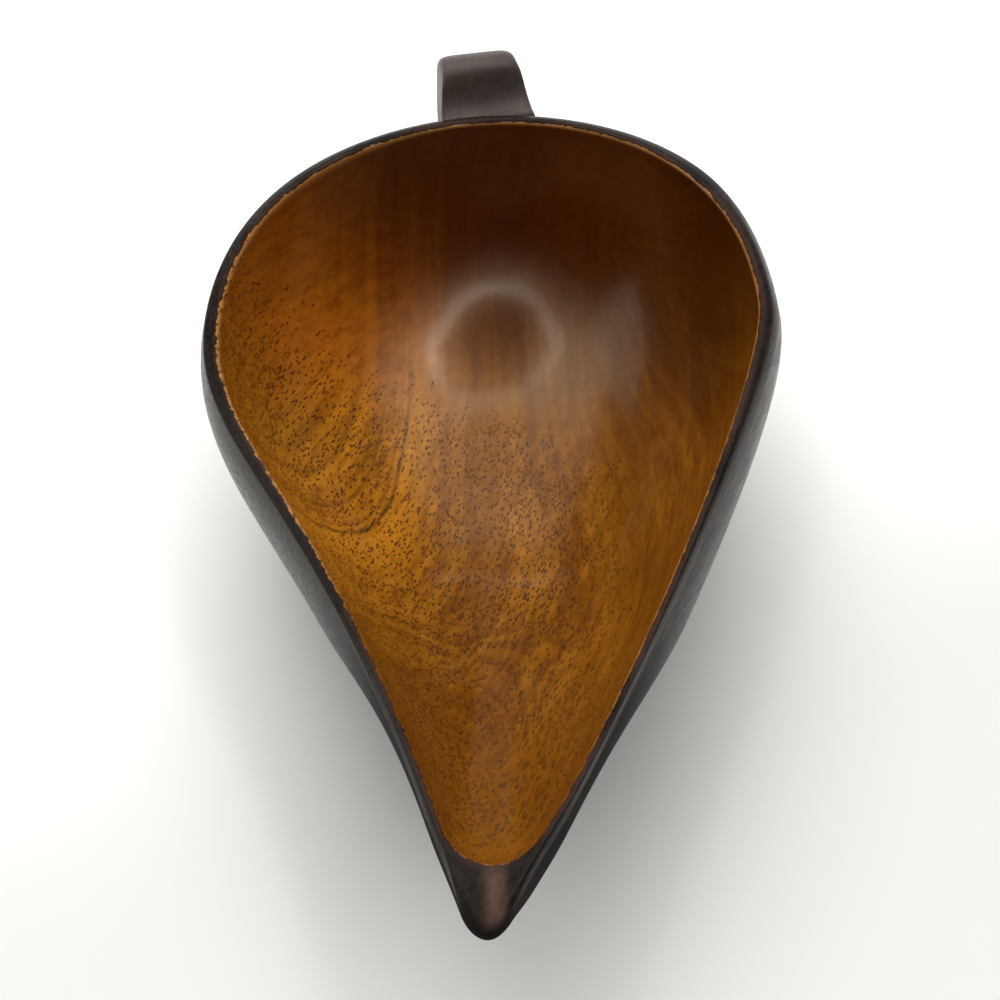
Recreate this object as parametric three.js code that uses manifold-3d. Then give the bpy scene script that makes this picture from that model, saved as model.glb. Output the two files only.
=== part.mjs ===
// A carved wooden serving scoop: a teardrop bowl that runs out to a pouring nose, a dark lacquer coat over
// its outside and rim, and a looped ear handle pegged and glued to the back wall.
//
// Millimetres, +Z up. The origin is the middle of the flat foot, on the surface that the scoop stands on.
// The nose points along -Y and the handle along +Y.

import * as THREE from 'three';
import { mergeVertices } from 'three/addons/utils/BufferGeometryUtils.js';
import Module from 'manifold-3d';

const wasm = await Module();
wasm.setup();

// Rim outline seen from above, measured on its outer edge
const NOSE_REACH = 110;            // foot centre to the tip of the nose
const NOSE_X = -2.3;               // the hand-carved nose leans a little to the left
const NOSE_RADIUS = 4.7;           // rounding of the nose
const NOSE_LEFT_ANGLE = 17;        // degrees between the scoop's length and the left flank at the nose
const NOSE_RIGHT_ANGLE = 30;       // degrees between the scoop's length and the right flank at the nose
const BACK_REACH = 60.5;           // foot centre to the back of the rim
const BACK_X = 1.5;                // sideways place of the rearmost point
const LEFT_HALF_WIDTH = 53.5;      // foot centre to the left shoulder
const LEFT_SHOULDER_Y = 4;         // where the left side is widest
const RIGHT_HALF_WIDTH = 52;       // foot centre to the right shoulder
const RIGHT_SHOULDER_Y = 7.5;      // where the right side is widest
const LEFT_FLANK_PULL = 73;        // how far the left flank runs straight out of the nose
const RIGHT_FLANK_PULL = 14;       // how far the right flank runs straight out of the nose
const LEFT_SHOULDER_PULL = 31;     // how slowly the left flank turns into its shoulder
const RIGHT_SHOULDER_PULL = 20;    // how slowly the right flank turns into its shoulder
const SIDE_PULL = 41.5;            // how far the sides run on behind the shoulders
const BACK_PULL = 21.5;            // how far the back runs sideways before it turns into the sides

// Rim face, from the outer edge to the inner edge
const RIM_LEFT = 2.8;
const RIM_RIGHT = 4.2;
const RIM_BACK = 2.8;
const RIM_NOSE = 10.4;             // solid wood in front of the hollow
const HOLLOW_NOSE_X = -1.5;
const HOLLOW_NOSE_RADIUS = 6.9;    // rounding of the hollow at its pouring end
const HOLLOW_LEFT_ANGLE = 20;      // degrees, as NOSE_LEFT_ANGLE
const HOLLOW_RIGHT_ANGLE = 44.5;   // degrees, as NOSE_RIGHT_ANGLE

// Body
const RIM_HEIGHT = 52;
const FLOOR_THICKNESS = 7;         // wood under the deepest point of the hollow
const FOOT_HALF_WIDTH = 22;
const FOOT_HALF_LENGTH = 27;
const FOOT_PROUD = 0.6;            // the bare foot stands this far below the lacquer
const FOOT_MARGIN = 1;             // from the wall's lower edge in to the edge of the bare foot
const FLOOR_HALF_WIDTH = 13;       // the nearly flat middle of the hollow
const FLOOR_HALF_LENGTH = 20;
const WALL_END_ANGLE = 76;         // degrees of the wall's quarter curve that are used
const HOLLOW_END_ANGLE = 84;       // degrees of the hollow's quarter curve that are used
const WALL_BULGE = 1.9;            // how far the flanks and back swell out below the rim
const BULGE_DROP = 13;             // rim top down to where they swell most
const BACK_FULLNESS = 2.4;         // exponent of the wall's curve at the back, where 2 is an ellipse
const NOSE_FULLNESS = 1.35;        // exponent under the nose, where the keel runs out nearly straight
const HOLLOW_BACK_FULLNESS = 2;
const HOLLOW_NOSE_FULLNESS = 1.3;
const KEEL_SPREAD = 30;            // degrees either side of the nose where the keel turns into the flank

// Lacquer
const COAT_THICKNESS = 0.5;
const BOND_GAP = 0.3;              // clearance between pieces that are laid or glued together

// Handle, drawn from the side: S runs back from the rim and H up from the rim's top
const HANDLE_X = -1.5;             // sideways place of the upper root
const HANDLE_YAW = 15;             // degrees, turned to the left of straight back
const UPPER_ROOT_WIDTH = 19.2;
const CREST_WIDTH = 14.6;
const BELLY_WIDTH = 12;
const LOWER_ROOT_WIDTH = 15;
const FLARE_LENGTH = 8;            // distance over which the strap widens into its roots
const STRAP_EDGE = 1.1;            // rounding of the strap's long edges
const UPPER_ROOT_DROP = 1.2;       // rim top down to the upper root's top face
const UPPER_ROOT_DEPTH = 7.2;      // height of the upper root on the wall
const FRONT_S = 3.6;               // middle of the face that rises from the rim
const FRONT_H = 3.8;
const FRONT_ANGLE = 68;            // degrees, its slope there
const FRONT_PULL = 2.6;            // how far the rising face keeps its direction
const CREST_S = 7.6;               // top of the handle
const CREST_H = 7.2;
const BELLY_S = 22.3;              // rearmost point of the handle
const BELLY_H = -17;
const STRAP_THICKNESS = 6.7;       // strap at the belly
const GRIP_TOP_S = 8.5;            // top of the finger gap
const GRIP_TOP_H = -5.2;
const LOWER_ROOT_H = -31;          // lower end of the finger gap, level with the rim's back
const LOWER_ROOT_DEPTH = 7;        // height of the lower root
const SEAT_ANGLE = 9;              // degrees, how the lower root falls towards the wall
const STRAP_PULL = 0.42;           // roundness of the strap's outside, where 0.55 is an ellipse
const GRIP_PULL = 0.5;             // roundness of the finger gap

// Pegs that locate the handle on the wall
const PEG_RADIUS = 2;
const PEG_IN_HANDLE = 8;
const UPPER_PEG_IN_WALL = 1.8;
const LOWER_PEG_IN_WALL = 2.6;

// Facets
const NOSE_STEPS = 6;
const FLANK_STEPS = 16;
const BACK_STEPS = 12;
const WALL_LEVELS = 12;
const PROFILE_STEPS = 9;
const EDGE_STEPS = 3;
const PEG_SIDES = 20;
const CUT_PAST = 6;                // how far cutting bodies run past the faces that they cut
const MERGE_DISTANCE = 1e-4;       // points closer than this are one

const rad = THREE.MathUtils.degToRad;

// Solids and cuts

function solidOf(geometry) {
  const bare = geometry.clone();
  bare.deleteAttribute('normal');
  bare.deleteAttribute('uv');
  const merged = mergeVertices(bare, MERGE_DISTANCE);
  return new wasm.Manifold(new wasm.Mesh({
    numProp: 3,
    vertProperties: new Float32Array(merged.attributes.position.array),
    triVerts: new Uint32Array(merged.index.array),
  }));
}

function geometryOf(solid) {
  const mesh = solid.getMesh();
  const geometry = new THREE.BufferGeometry();
  geometry.setAttribute('position', new THREE.BufferAttribute(new Float32Array(mesh.vertProperties), 3));
  geometry.setIndex(new THREE.BufferAttribute(new Uint32Array(mesh.triVerts), 1));
  geometry.computeVertexNormals();
  return geometry;
}

// A closed solid through rings of equal point count, from the top ring down, capped by fans at both ends.
function loft(rings) {
  const count = rings[0].length;
  const positions = [];
  const index = [];
  rings.forEach((ring) => ring.forEach((point) => positions.push(point.x, point.y, point.z)));
  for (let level = 0; level + 1 < rings.length; level += 1) {
    for (let i = 0; i < count; i += 1) {
      const next = (i + 1) % count;
      const a = level * count + i;
      const b = level * count + next;
      index.push(a, a + count, b, b, a + count, b + count);
    }
  }
  const caps = [{ level: 0, up: true }, { level: rings.length - 1, up: false }];
  caps.forEach(({ level, up }) => {
    const middle = rings[level].reduce((sum, point) => sum.add(point), new THREE.Vector3());
    middle.divideScalar(count);
    const centre = positions.length / 3;
    positions.push(middle.x, middle.y, middle.z);
    for (let i = 0; i < count; i += 1) {
      const a = level * count + i;
      const b = level * count + ((i + 1) % count);
      index.push(...(up ? [centre, a, b] : [centre, b, a]));
    }
  });
  const geometry = new THREE.BufferGeometry();
  geometry.setAttribute('position', new THREE.Float32BufferAttribute(positions, 3));
  geometry.setIndex(index);
  return geometry;
}

// Rim outlines, counter-clockwise from the nose

const outerRim = {
  nose: new THREE.Vector2(NOSE_X, -NOSE_REACH),
  right: new THREE.Vector2(RIGHT_HALF_WIDTH, RIGHT_SHOULDER_Y),
  back: new THREE.Vector2(BACK_X, BACK_REACH),
  left: new THREE.Vector2(-LEFT_HALF_WIDTH, LEFT_SHOULDER_Y),
  noseRadius: NOSE_RADIUS,
  leftAngle: rad(NOSE_LEFT_ANGLE),
  rightAngle: rad(NOSE_RIGHT_ANGLE),
};

const innerRim = {
  nose: new THREE.Vector2(HOLLOW_NOSE_X, RIM_NOSE - NOSE_REACH),
  right: new THREE.Vector2(RIGHT_HALF_WIDTH - RIM_RIGHT, RIGHT_SHOULDER_Y),
  back: new THREE.Vector2(BACK_X, BACK_REACH - RIM_BACK),
  left: new THREE.Vector2(RIM_LEFT - LEFT_HALF_WIDTH, LEFT_SHOULDER_Y),
  noseRadius: HOLLOW_NOSE_RADIUS,
  leftAngle: rad(HOLLOW_LEFT_ANGLE),
  rightAngle: rad(HOLLOW_RIGHT_ANGLE),
};

// The curves' pulls are given for the outer rim; the inner rim's shrink with its own spans.
function rimPoints(rim) {
  const { nose, right, back, left, noseRadius, leftAngle, rightAngle } = rim;
  const lengthwise = (left.y - nose.y) / (LEFT_SHOULDER_Y + NOSE_REACH);
  const rearward = (back.y - left.y) / (BACK_REACH - LEFT_SHOULDER_Y);
  const leftward = left.x / -LEFT_HALF_WIDTH;
  const rightward = right.x / RIGHT_HALF_WIDTH;
  const centre = new THREE.Vector2(nose.x, nose.y + noseRadius);
  const rightStart = new THREE.Vector2(Math.cos(rightAngle), -Math.sin(rightAngle));
  const leftStart = new THREE.Vector2(-Math.cos(leftAngle), -Math.sin(leftAngle));
  const rightEnd = rightStart.clone().multiplyScalar(noseRadius).add(centre);
  const leftEnd = leftStart.clone().multiplyScalar(noseRadius).add(centre);
  const rightPull = RIGHT_FLANK_PULL * lengthwise;
  const leftPull = LEFT_FLANK_PULL * lengthwise;
  const curves = [
    [NOSE_STEPS, new THREE.EllipseCurve(
      centre.x, centre.y, noseRadius, noseRadius, Math.PI + leftAngle, 2 * Math.PI - rightAngle,
    )],
    [FLANK_STEPS, new THREE.CubicBezierCurve(
      rightEnd,
      new THREE.Vector2(rightEnd.x - rightPull * rightStart.y, rightEnd.y + rightPull * rightStart.x),
      new THREE.Vector2(right.x, right.y - RIGHT_SHOULDER_PULL * lengthwise),
      right,
    )],
    [BACK_STEPS, new THREE.CubicBezierCurve(
      right,
      new THREE.Vector2(right.x, right.y + SIDE_PULL * rearward),
      new THREE.Vector2(back.x + BACK_PULL * rightward, back.y),
      back,
    )],
    [BACK_STEPS, new THREE.CubicBezierCurve(
      back,
      new THREE.Vector2(back.x - BACK_PULL * leftward, back.y),
      new THREE.Vector2(left.x, left.y + SIDE_PULL * rearward),
      left,
    )],
    [FLANK_STEPS, new THREE.CubicBezierCurve(
      left,
      new THREE.Vector2(left.x, left.y - LEFT_SHOULDER_PULL * lengthwise),
      new THREE.Vector2(leftEnd.x + leftPull * leftStart.y, leftEnd.y - leftPull * leftStart.x),
      leftEnd,
    )],
  ];
  return curves.flatMap(([steps, curve]) => curve.getSpacedPoints(steps).slice(0, steps));
}

// Moves a closed counter-clockwise outline inwards by a distance, square to itself.
function inset(points, distance) {
  const count = points.length;
  return points.map((point, i) => {
    const along = points[(i + 1) % count].clone().sub(points[(i + count - 1) % count]).normalize();
    return new THREE.Vector2(point.x - along.y * distance, point.y + along.x * distance);
  });
}

// The point of an oval in the direction of a rim point, seen from the foot's centre.
function ovalPoint(direction, halfWidth, halfLength) {
  const scale = 1 / Math.hypot(direction.x / halfWidth, direction.y / halfLength);
  return direction.clone().multiplyScalar(scale);
}

// Zero in the nose's direction and one at the flanks and back.
function awayFromNose(direction) {
  const turned = Math.abs(THREE.MathUtils.radToDeg(Math.atan2(direction.x, -direction.y)));
  return THREE.MathUtils.smoothstep(turned, 0, KEEL_SPREAD);
}

// One at the bulge's place on the way down the wall, and nothing at the rim and the foot.
function swell(down) {
  const at = BULGE_DROP / (RIM_HEIGHT - FOOT_PROUD);
  return (down / at) * ((1 - down) / (1 - at)) ** ((1 - at) / at);
}

// Rings of a quarter superellipse from each rim point down to its own point on an oval below.
function wallRings(rim, oval, heights, form) {
  const end = rad(form.endAngle);
  const outwards = inset(rim, -1);
  const rings = [];
  for (let level = 0; level <= WALL_LEVELS; level += 1) {
    const angle = (end * level) / WALL_LEVELS;
    rings.push(rim.map((edge, i) => {
      const away = awayFromNose(edge);
      const power = 2 / THREE.MathUtils.lerp(form.noseFullness, form.backFullness, away);
      const inward = (1 - Math.cos(angle) ** power) / (1 - Math.cos(end) ** power);
      const down = (Math.sin(angle) / Math.sin(end)) ** power;
      const foot = ovalPoint(edge, oval.halfWidth, oval.halfLength);
      const place = edge.clone().lerp(foot, inward);
      place.addScaledVector(outwards[i].clone().sub(edge), form.bulge * away * swell(down));
      return new THREE.Vector3(place.x, place.y, THREE.MathUtils.lerp(heights.top, heights.bottom, down));
    }));
  }
  return rings;
}

// Bowl bodies

const outerRimPoints = rimPoints(outerRim);
const innerRimPoints = rimPoints(innerRim);

const wallForm = {
  endAngle: WALL_END_ANGLE,
  noseFullness: NOSE_FULLNESS,
  backFullness: BACK_FULLNESS,
  bulge: WALL_BULGE,
};

const hollowWallForm = {
  endAngle: HOLLOW_END_ANGLE,
  noseFullness: HOLLOW_NOSE_FULLNESS,
  backFullness: HOLLOW_BACK_FULLNESS,
  bulge: 0,
};

// The scoop's outside form, drawn in by a depth on every side.
function outsideForm(depth) {
  const rim = inset(outerRimPoints, depth);
  const oval = { halfWidth: FOOT_HALF_WIDTH - depth, halfLength: FOOT_HALF_LENGTH - depth };
  const heights = { top: RIM_HEIGHT - depth, bottom: FOOT_PROUD + depth };
  return solidOf(loft(wallRings(rim, oval, heights, wallForm)));
}

// The hollow, run on straight up past the rim.
function hollowForm() {
  const oval = { halfWidth: FLOOR_HALF_WIDTH, halfLength: FLOOR_HALF_LENGTH };
  const heights = { top: RIM_HEIGHT, bottom: FLOOR_THICKNESS };
  const rings = wallRings(innerRimPoints, oval, heights, hollowWallForm);
  const above = rings[0].map((point) => new THREE.Vector3(point.x, point.y, RIM_HEIGHT + CUT_PAST));
  return solidOf(loft([above, ...rings]));
}

// An upright oval block on the foot's outline.
function footBlock(margin, bottom, top) {
  const oval = [];
  const sides = outerRimPoints.length;
  for (let i = 0; i < sides; i += 1) {
    const turn = (2 * Math.PI * i) / sides;
    oval.push(new THREE.Vector2(
      (FOOT_HALF_WIDTH - margin) * Math.cos(turn),
      (FOOT_HALF_LENGTH - margin) * Math.sin(turn),
    ));
  }
  const ringAt = (height) => oval.map((point) => new THREE.Vector3(point.x, point.y, height));
  return solidOf(loft([ringAt(top), ringAt(bottom)]));
}

// Handle, in its own upright plane

const handlePlace = new THREE.Matrix4()
  .makeTranslation(HANDLE_X, BACK_REACH, RIM_HEIGHT)
  .multiply(new THREE.Matrix4().makeRotationZ(rad(HANDLE_YAW)));

// From the drawing's S, H and across to X, Y and Z before the yaw is applied.
const drawingToScoop = new THREE.Matrix4().set(
  0, 0, 1, 0,
  1, 0, 0, 0,
  0, 1, 0, 0,
  0, 0, 0, 1,
);

// The handle's side view. Its roots are drawn on into the bowl, and are cut to the wall afterwards.
function handleShape() {
  const rootTop = -UPPER_ROOT_DROP;
  const rootUnder = rootTop - UPPER_ROOT_DEPTH;
  const lowerUnder = LOWER_ROOT_H - LOWER_ROOT_DEPTH;
  const seatFall = Math.tan(rad(SEAT_ANGLE));
  const seatReach = BACK_REACH / 2;
  const gripBack = BELLY_S - STRAP_THICKNESS;
  const leanS = FRONT_PULL * Math.cos(rad(FRONT_ANGLE));
  const leanH = FRONT_PULL * Math.sin(rad(FRONT_ANGLE));
  const shape = new THREE.Shape();
  shape.moveTo(-seatReach, rootTop);
  shape.lineTo(0, rootTop);
  // The top face sweeps up from the rim and rolls over the crest
  shape.bezierCurveTo(FRONT_PULL, rootTop, FRONT_S - leanS, FRONT_H - leanH, FRONT_S, FRONT_H);
  shape.bezierCurveTo(
    FRONT_S + leanS, FRONT_H + leanH, CREST_S - FRONT_PULL, CREST_H, CREST_S, CREST_H,
  );
  // The strap falls away to its belly and comes back in to the wall
  shape.bezierCurveTo(
    CREST_S + STRAP_PULL * (BELLY_S - CREST_S), CREST_H,
    BELLY_S, BELLY_H + STRAP_PULL * (CREST_H - BELLY_H),
    BELLY_S, BELLY_H,
  );
  shape.bezierCurveTo(
    BELLY_S, BELLY_H + STRAP_PULL * (lowerUnder - BELLY_H),
    STRAP_PULL * BELLY_S, lowerUnder + STRAP_PULL * BELLY_S * seatFall,
    0, lowerUnder,
  );
  shape.lineTo(-seatReach, lowerUnder - seatReach * seatFall);
  shape.lineTo(-seatReach, LOWER_ROOT_H - seatReach * seatFall);
  shape.lineTo(0, LOWER_ROOT_H);
  // The finger gap
  shape.bezierCurveTo(
    GRIP_PULL * gripBack, LOWER_ROOT_H + GRIP_PULL * gripBack * seatFall,
    gripBack, BELLY_H + GRIP_PULL * (LOWER_ROOT_H - BELLY_H),
    gripBack, BELLY_H,
  );
  shape.bezierCurveTo(
    gripBack, BELLY_H + GRIP_PULL * (GRIP_TOP_H - BELLY_H),
    GRIP_TOP_S + GRIP_PULL * (gripBack - GRIP_TOP_S), GRIP_TOP_H,
    GRIP_TOP_S, GRIP_TOP_H,
  );
  shape.bezierCurveTo(
    GRIP_PULL * GRIP_TOP_S, GRIP_TOP_H, GRIP_PULL * GRIP_TOP_S, rootUnder, 0, rootUnder,
  );
  shape.lineTo(-seatReach, rootUnder);
  shape.closePath();
  return shape;
}

// The strap's width: flared at the roots, drawn in over the crest, slimmest at the belly.
function strapWidth(s, h) {
  const { lerp, smoothstep } = THREE.MathUtils;
  const overCrest = lerp(CREST_WIDTH, BELLY_WIDTH, smoothstep(s, CREST_S, BELLY_S));
  const upper = lerp(UPPER_ROOT_WIDTH, overCrest, smoothstep(s, 0, FLARE_LENGTH));
  const lower = lerp(LOWER_ROOT_WIDTH, BELLY_WIDTH, smoothstep(s, 0, BELLY_S));
  return lerp(lower, upper, smoothstep(h, BELLY_H - FLARE_LENGTH, BELLY_H + FLARE_LENGTH));
}

// The handle before it is cut to the wall, grown by a clearance on every side.
function handleForm(grow) {
  const geometry = new THREE.ExtrudeGeometry(handleShape(), {
    depth: BELLY_WIDTH - 2 * STRAP_EDGE,
    curveSegments: PROFILE_STEPS,
    steps: 1,
    bevelEnabled: true,
    bevelThickness: STRAP_EDGE,
    bevelSize: STRAP_EDGE,
    bevelOffset: grow - STRAP_EDGE,
    bevelSegments: EDGE_STEPS,
  });
  geometry.translate(0, 0, STRAP_EDGE - BELLY_WIDTH / 2);
  const place = geometry.attributes.position;
  for (let i = 0; i < place.count; i += 1) {
    const width = strapWidth(place.getX(i), place.getY(i)) + 2 * grow;
    place.setZ(i, (place.getZ(i) * width) / BELLY_WIDTH);
  }
  geometry.applyMatrix4(drawingToScoop);
  geometry.applyMatrix4(handlePlace);
  return solidOf(geometry);
}

// Pegs

const upperPegH = -UPPER_ROOT_DROP - UPPER_ROOT_DEPTH / 2;
const lowerPegH = LOWER_ROOT_H - LOWER_ROOT_DEPTH / 2;

// A round bar along the handle's own direction, from one distance behind the rim to another.
function bar(h, radius, from, to) {
  const geometry = new THREE.CylinderGeometry(radius, radius, to - from, PEG_SIDES);
  geometry.translate(0, (from + to) / 2, h);
  geometry.applyMatrix4(handlePlace);
  return geometry;
}

// Assembly

const woodForm = outsideForm(COAT_THICKNESS + BOND_GAP);
const hollow = hollowForm();

// How far behind the rim the wood's face lies at a height, on the handle's plane.
function wallPlace(h) {
  const start = new THREE.Vector3(0, BELLY_S, h).applyMatrix4(handlePlace);
  const inwards = new THREE.Vector3(0, -1, 0).transformDirection(handlePlace);
  const wall = new THREE.Mesh(geometryOf(woodForm));
  const [hit] = new THREE.Raycaster(start, inwards).intersectObject(wall);
  return BELLY_S - hit.distance;
}

const upperWall = wallPlace(upperPegH);
const lowerWall = wallPlace(lowerPegH);

const pegs = [
  { name: 'upper_peg', h: upperPegH, from: upperWall - UPPER_PEG_IN_WALL, to: upperWall + PEG_IN_HANDLE },
  { name: 'lower_peg', h: lowerPegH, from: lowerWall - LOWER_PEG_IN_WALL, to: lowerWall + PEG_IN_HANDLE },
];

const pegHoles = pegs.map(({ h, from, to }) => solidOf(
  bar(h, PEG_RADIUS + BOND_GAP, from - BOND_GAP, to + BOND_GAP),
));

function drilled(solid) {
  return pegHoles.reduce((left, hole) => left.subtract(hole), solid);
}

const coatInside = outsideForm(COAT_THICKNESS);
const footTop = FOOT_PROUD + COAT_THICKNESS + BOND_GAP + FOOT_MARGIN;

const bowlCore = drilled(
  woodForm.add(footBlock(FOOT_MARGIN, 0, footTop)).subtract(hollow),
);

const lacquerCoat = outsideForm(0)
  .subtract(coatInside)
  .subtract(hollow)
  .subtract(footBlock(FOOT_MARGIN - BOND_GAP, -CUT_PAST, footTop))
  .subtract(handleForm(BOND_GAP));

const loopHandle = drilled(handleForm(0).subtract(coatInside));

// Finishes

const goldenWood = new THREE.MeshStandardMaterial({ color: 0x8a5416, roughness: 0.35, metalness: 0 });
const darkLacquer = new THREE.MeshStandardMaterial({ color: 0x2b2120, roughness: 0.4, metalness: 0 });
const darkHandle = new THREE.MeshStandardMaterial({ color: 0x33292a, roughness: 0.42, metalness: 0 });
const paleWood = new THREE.MeshStandardMaterial({ color: 0xb98d55, roughness: 0.6, metalness: 0 });

const scoop = new THREE.Group();

function addPiece(name, geometry, material) {
  const mesh = new THREE.Mesh(geometry, material);
  mesh.name = name;
  scoop.add(mesh);
}

addPiece('bowl_core', geometryOf(bowlCore), goldenWood);
addPiece('lacquer_coat', geometryOf(lacquerCoat), darkLacquer);
addPiece('loop_handle', geometryOf(loopHandle), darkHandle);
pegs.forEach(({ name, h, from, to }) => addPiece(name, bar(h, PEG_RADIUS, from, to), paleWood));

export default scoop;
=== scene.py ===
"""Looks of a carved wooden serving scoop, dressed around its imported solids.

The frame is the solids' own: metres, +Z up, the origin in the middle of the foot, the
nose along -Y and the handle along +Y. Sizes are written in millimetres and degrees, and
are turned into metres where a mesh is made.
"""

from __future__ import annotations

import logging
import math
from dataclasses import dataclass, field
from enum import Enum
from functools import reduce
from typing import Any

import bmesh
import bpy
import numpy as np
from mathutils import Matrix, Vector

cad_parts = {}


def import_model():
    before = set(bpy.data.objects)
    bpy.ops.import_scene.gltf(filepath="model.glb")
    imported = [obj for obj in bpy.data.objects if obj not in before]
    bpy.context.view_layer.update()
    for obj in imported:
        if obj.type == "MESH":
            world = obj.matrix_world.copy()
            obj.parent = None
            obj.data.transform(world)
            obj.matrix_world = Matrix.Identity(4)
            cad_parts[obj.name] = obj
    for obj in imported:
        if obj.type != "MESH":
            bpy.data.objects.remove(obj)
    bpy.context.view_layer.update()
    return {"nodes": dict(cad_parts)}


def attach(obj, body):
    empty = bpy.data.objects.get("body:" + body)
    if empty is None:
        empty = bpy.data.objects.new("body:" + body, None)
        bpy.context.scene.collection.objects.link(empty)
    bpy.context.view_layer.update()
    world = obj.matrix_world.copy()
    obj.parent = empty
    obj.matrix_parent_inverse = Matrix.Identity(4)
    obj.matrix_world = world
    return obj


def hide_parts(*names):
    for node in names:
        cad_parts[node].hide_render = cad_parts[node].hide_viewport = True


LOG = logging.getLogger("scoop")

MM = 0.001
BODY = "root"
MERGE_DISTANCE = 1e-6
BEZIER_SAMPLES = 2001
TURN_STEPS = 8
FAR_FROM_EDGE = 9.0

Triple = tuple[float, float, float]
Rings = list[np.ndarray]
Span = tuple[float, float]
Stirs = tuple[tuple[str, float], ...]
Socket = bpy.types.NodeSocket


class Facing(Enum):
    """Which way a lofted wall looks."""

    INTO_HOLLOW = 1
    OUTWARDS = -1


class NodeBench:
    """Lays nodes in a tree and wires them as they are laid."""

    def __init__(self, tree: bpy.types.NodeTree) -> None:
        """Takes the tree that the nodes go into."""
        self.tree = tree

    def feed(self, socket: Socket, value: Any) -> None:
        """Links a socket's value, or sets it if it is a constant.

        Args:
            socket: the input that is fed.
            value: another node's output, or a constant; a colour may leave out its alpha.
        """
        if isinstance(value, Socket):
            self.tree.links.new(value, socket)
        elif socket.type == "RGBA" and len(value) == 3:
            socket.default_value = (*value, 1.0)
        else:
            socket.default_value = value

    def wire(self, node: bpy.types.Node, feeds: dict[Any, Any]) -> None:
        """Feeds a node's inputs by their names or numbers."""
        for key, value in feeds.items():
            self.feed(node.inputs[key], value)

    def lay(self, kind: str, feeds: dict[Any, Any] | None = None, **settings: Any) -> bpy.types.Node:
        """Adds one node.

        Args:
            kind: the node's type.
            feeds: input names or numbers, with what goes into each.
            settings: properties of the node.

        Returns:
            The node.
        """
        node = self.tree.nodes.new(kind)
        for name, value in settings.items():
            setattr(node, name, value)
        self.wire(node, feeds or {})
        return node

    def math(self, operation: str, *values: Any) -> Socket:
        """Adds a math node with its inputs in order."""
        return self.lay("ShaderNodeMath", dict(enumerate(values)), operation=operation).outputs[0]

    def times(self, *values: Any) -> Socket:
        """Multiplies numbers."""
        return reduce(lambda left, right: self.math("MULTIPLY", left, right), values)

    def vector(self, operation: str, *values: Any) -> Socket:
        """Adds a vector math node; for SCALE the second value is the factor.

        Args:
            operation: the node's operation.
            values: its inputs in order.

        Returns:
            Its output, a number for a dot product or a length.
        """
        feeds = dict(enumerate(values))
        if operation == "SCALE":
            feeds = {0: values[0], "Scale": values[1]}
        node = self.lay("ShaderNodeVectorMath", feeds, operation=operation)
        return node.outputs["Value" if operation in ("DOT_PRODUCT", "LENGTH") else "Vector"]

    def dot(self, left: Any, right: Any) -> Socket:
        """Adds how far one vector runs along another."""
        return self.vector("DOT_PRODUCT", left, right)

    def split(self, value: Any) -> Any:
        """Gives a vector's X, Y and Z."""
        return self.lay("ShaderNodeSeparateXYZ", {0: value}).outputs

    def pack(self, **parts: Any) -> Socket:
        """Makes a vector of its X, Y and Z."""
        return self.lay("ShaderNodeCombineXYZ", parts).outputs[0]

    def between(self, share: Any, low: Any, high: Any) -> Socket:
        """Blends two numbers: low at share 0 and high at share 1."""
        return self.math("MULTIPLY_ADD", share, self.math("SUBTRACT", high, low), low)

    def blend(self, share: Any, low: Any, high: Any) -> Socket:
        """Blends two vectors: low at share 0 and high at share 1."""
        return self.vector("ADD", low, self.vector("SCALE", self.vector("SUBTRACT", high, low), share))

    def smooth(self, value: Any, low: Any, high: Any) -> Socket:
        """Eases a number from 0 at low to 1 at high."""
        feeds = {"Value": value, "From Min": low, "From Max": high}
        return self.lay("ShaderNodeMapRange", feeds, interpolation_type="SMOOTHSTEP").outputs[0]

    def mix(self, share: Any, low: Any, high: Any) -> Socket:
        """Mixes two colours: low at share 0 and high at share 1."""
        return self.lay("ShaderNodeMix", {0: share, 6: low, 7: high}, data_type="RGBA").outputs[2]

    def ramp(self, value: Any, stops: tuple[tuple[float, Triple], ...]) -> Socket:
        """Turns a number into a colour.

        Args:
            value: the number, from 0 to 1.
            stops: places with their colours.

        Returns:
            The colour.
        """
        node = self.lay("ShaderNodeValToRGB", {0: value})
        elements = node.color_ramp.elements
        while len(elements) < len(stops):
            elements.new(1.0)
        for element, (place, colour) in zip(elements, stops):
            element.position = place
            element.color = (*colour, 1.0)
        return node.outputs[0]

    def noise(self, place: Any, scale: float, detail: float, roughness: float = 0.5) -> Socket:
        """Adds a noise pattern around one half, with finer layers by detail and roughness."""
        feeds = {"Vector": place, "Scale": scale, "Detail": detail, "Roughness": roughness}
        return self.lay("ShaderNodeTexNoise", feeds).outputs[0]

    def bands(self, value: Any, scale: float, detail: float) -> Socket:
        """Adds a noise pattern around one half along one number."""
        feeds = {"W": value, "Scale": scale, "Detail": detail}
        return self.lay("ShaderNodeTexNoise", feeds, noise_dimensions="1D").outputs[0]

    def bump(self, height: Any, strength: float, distance: float) -> bpy.types.Node:
        """Adds a bump, with its depth in metres."""
        return self.lay("ShaderNodeBump", {"Height": height, "Strength": strength, "Distance": distance})

    def stir(self, value: Any, *parts: tuple[Any, float]) -> Socket:
        """Moves a number by patterns that lie around one half.

        Args:
            value: the number.
            parts: patterns, with how much each counts.

        Returns:
            The moved number.
        """
        for pattern, amount in parts:
            value = self.math("ADD", value, self.math("MULTIPLY_ADD", pattern, amount, -0.5 * amount))
        return value

    def spot(self) -> Socket:
        """Adds the place on the piece, in millimetres."""
        return self.vector("SCALE", self.lay("ShaderNodeTexCoord").outputs["Object"], 1 / MM)


# Finishes


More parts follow.
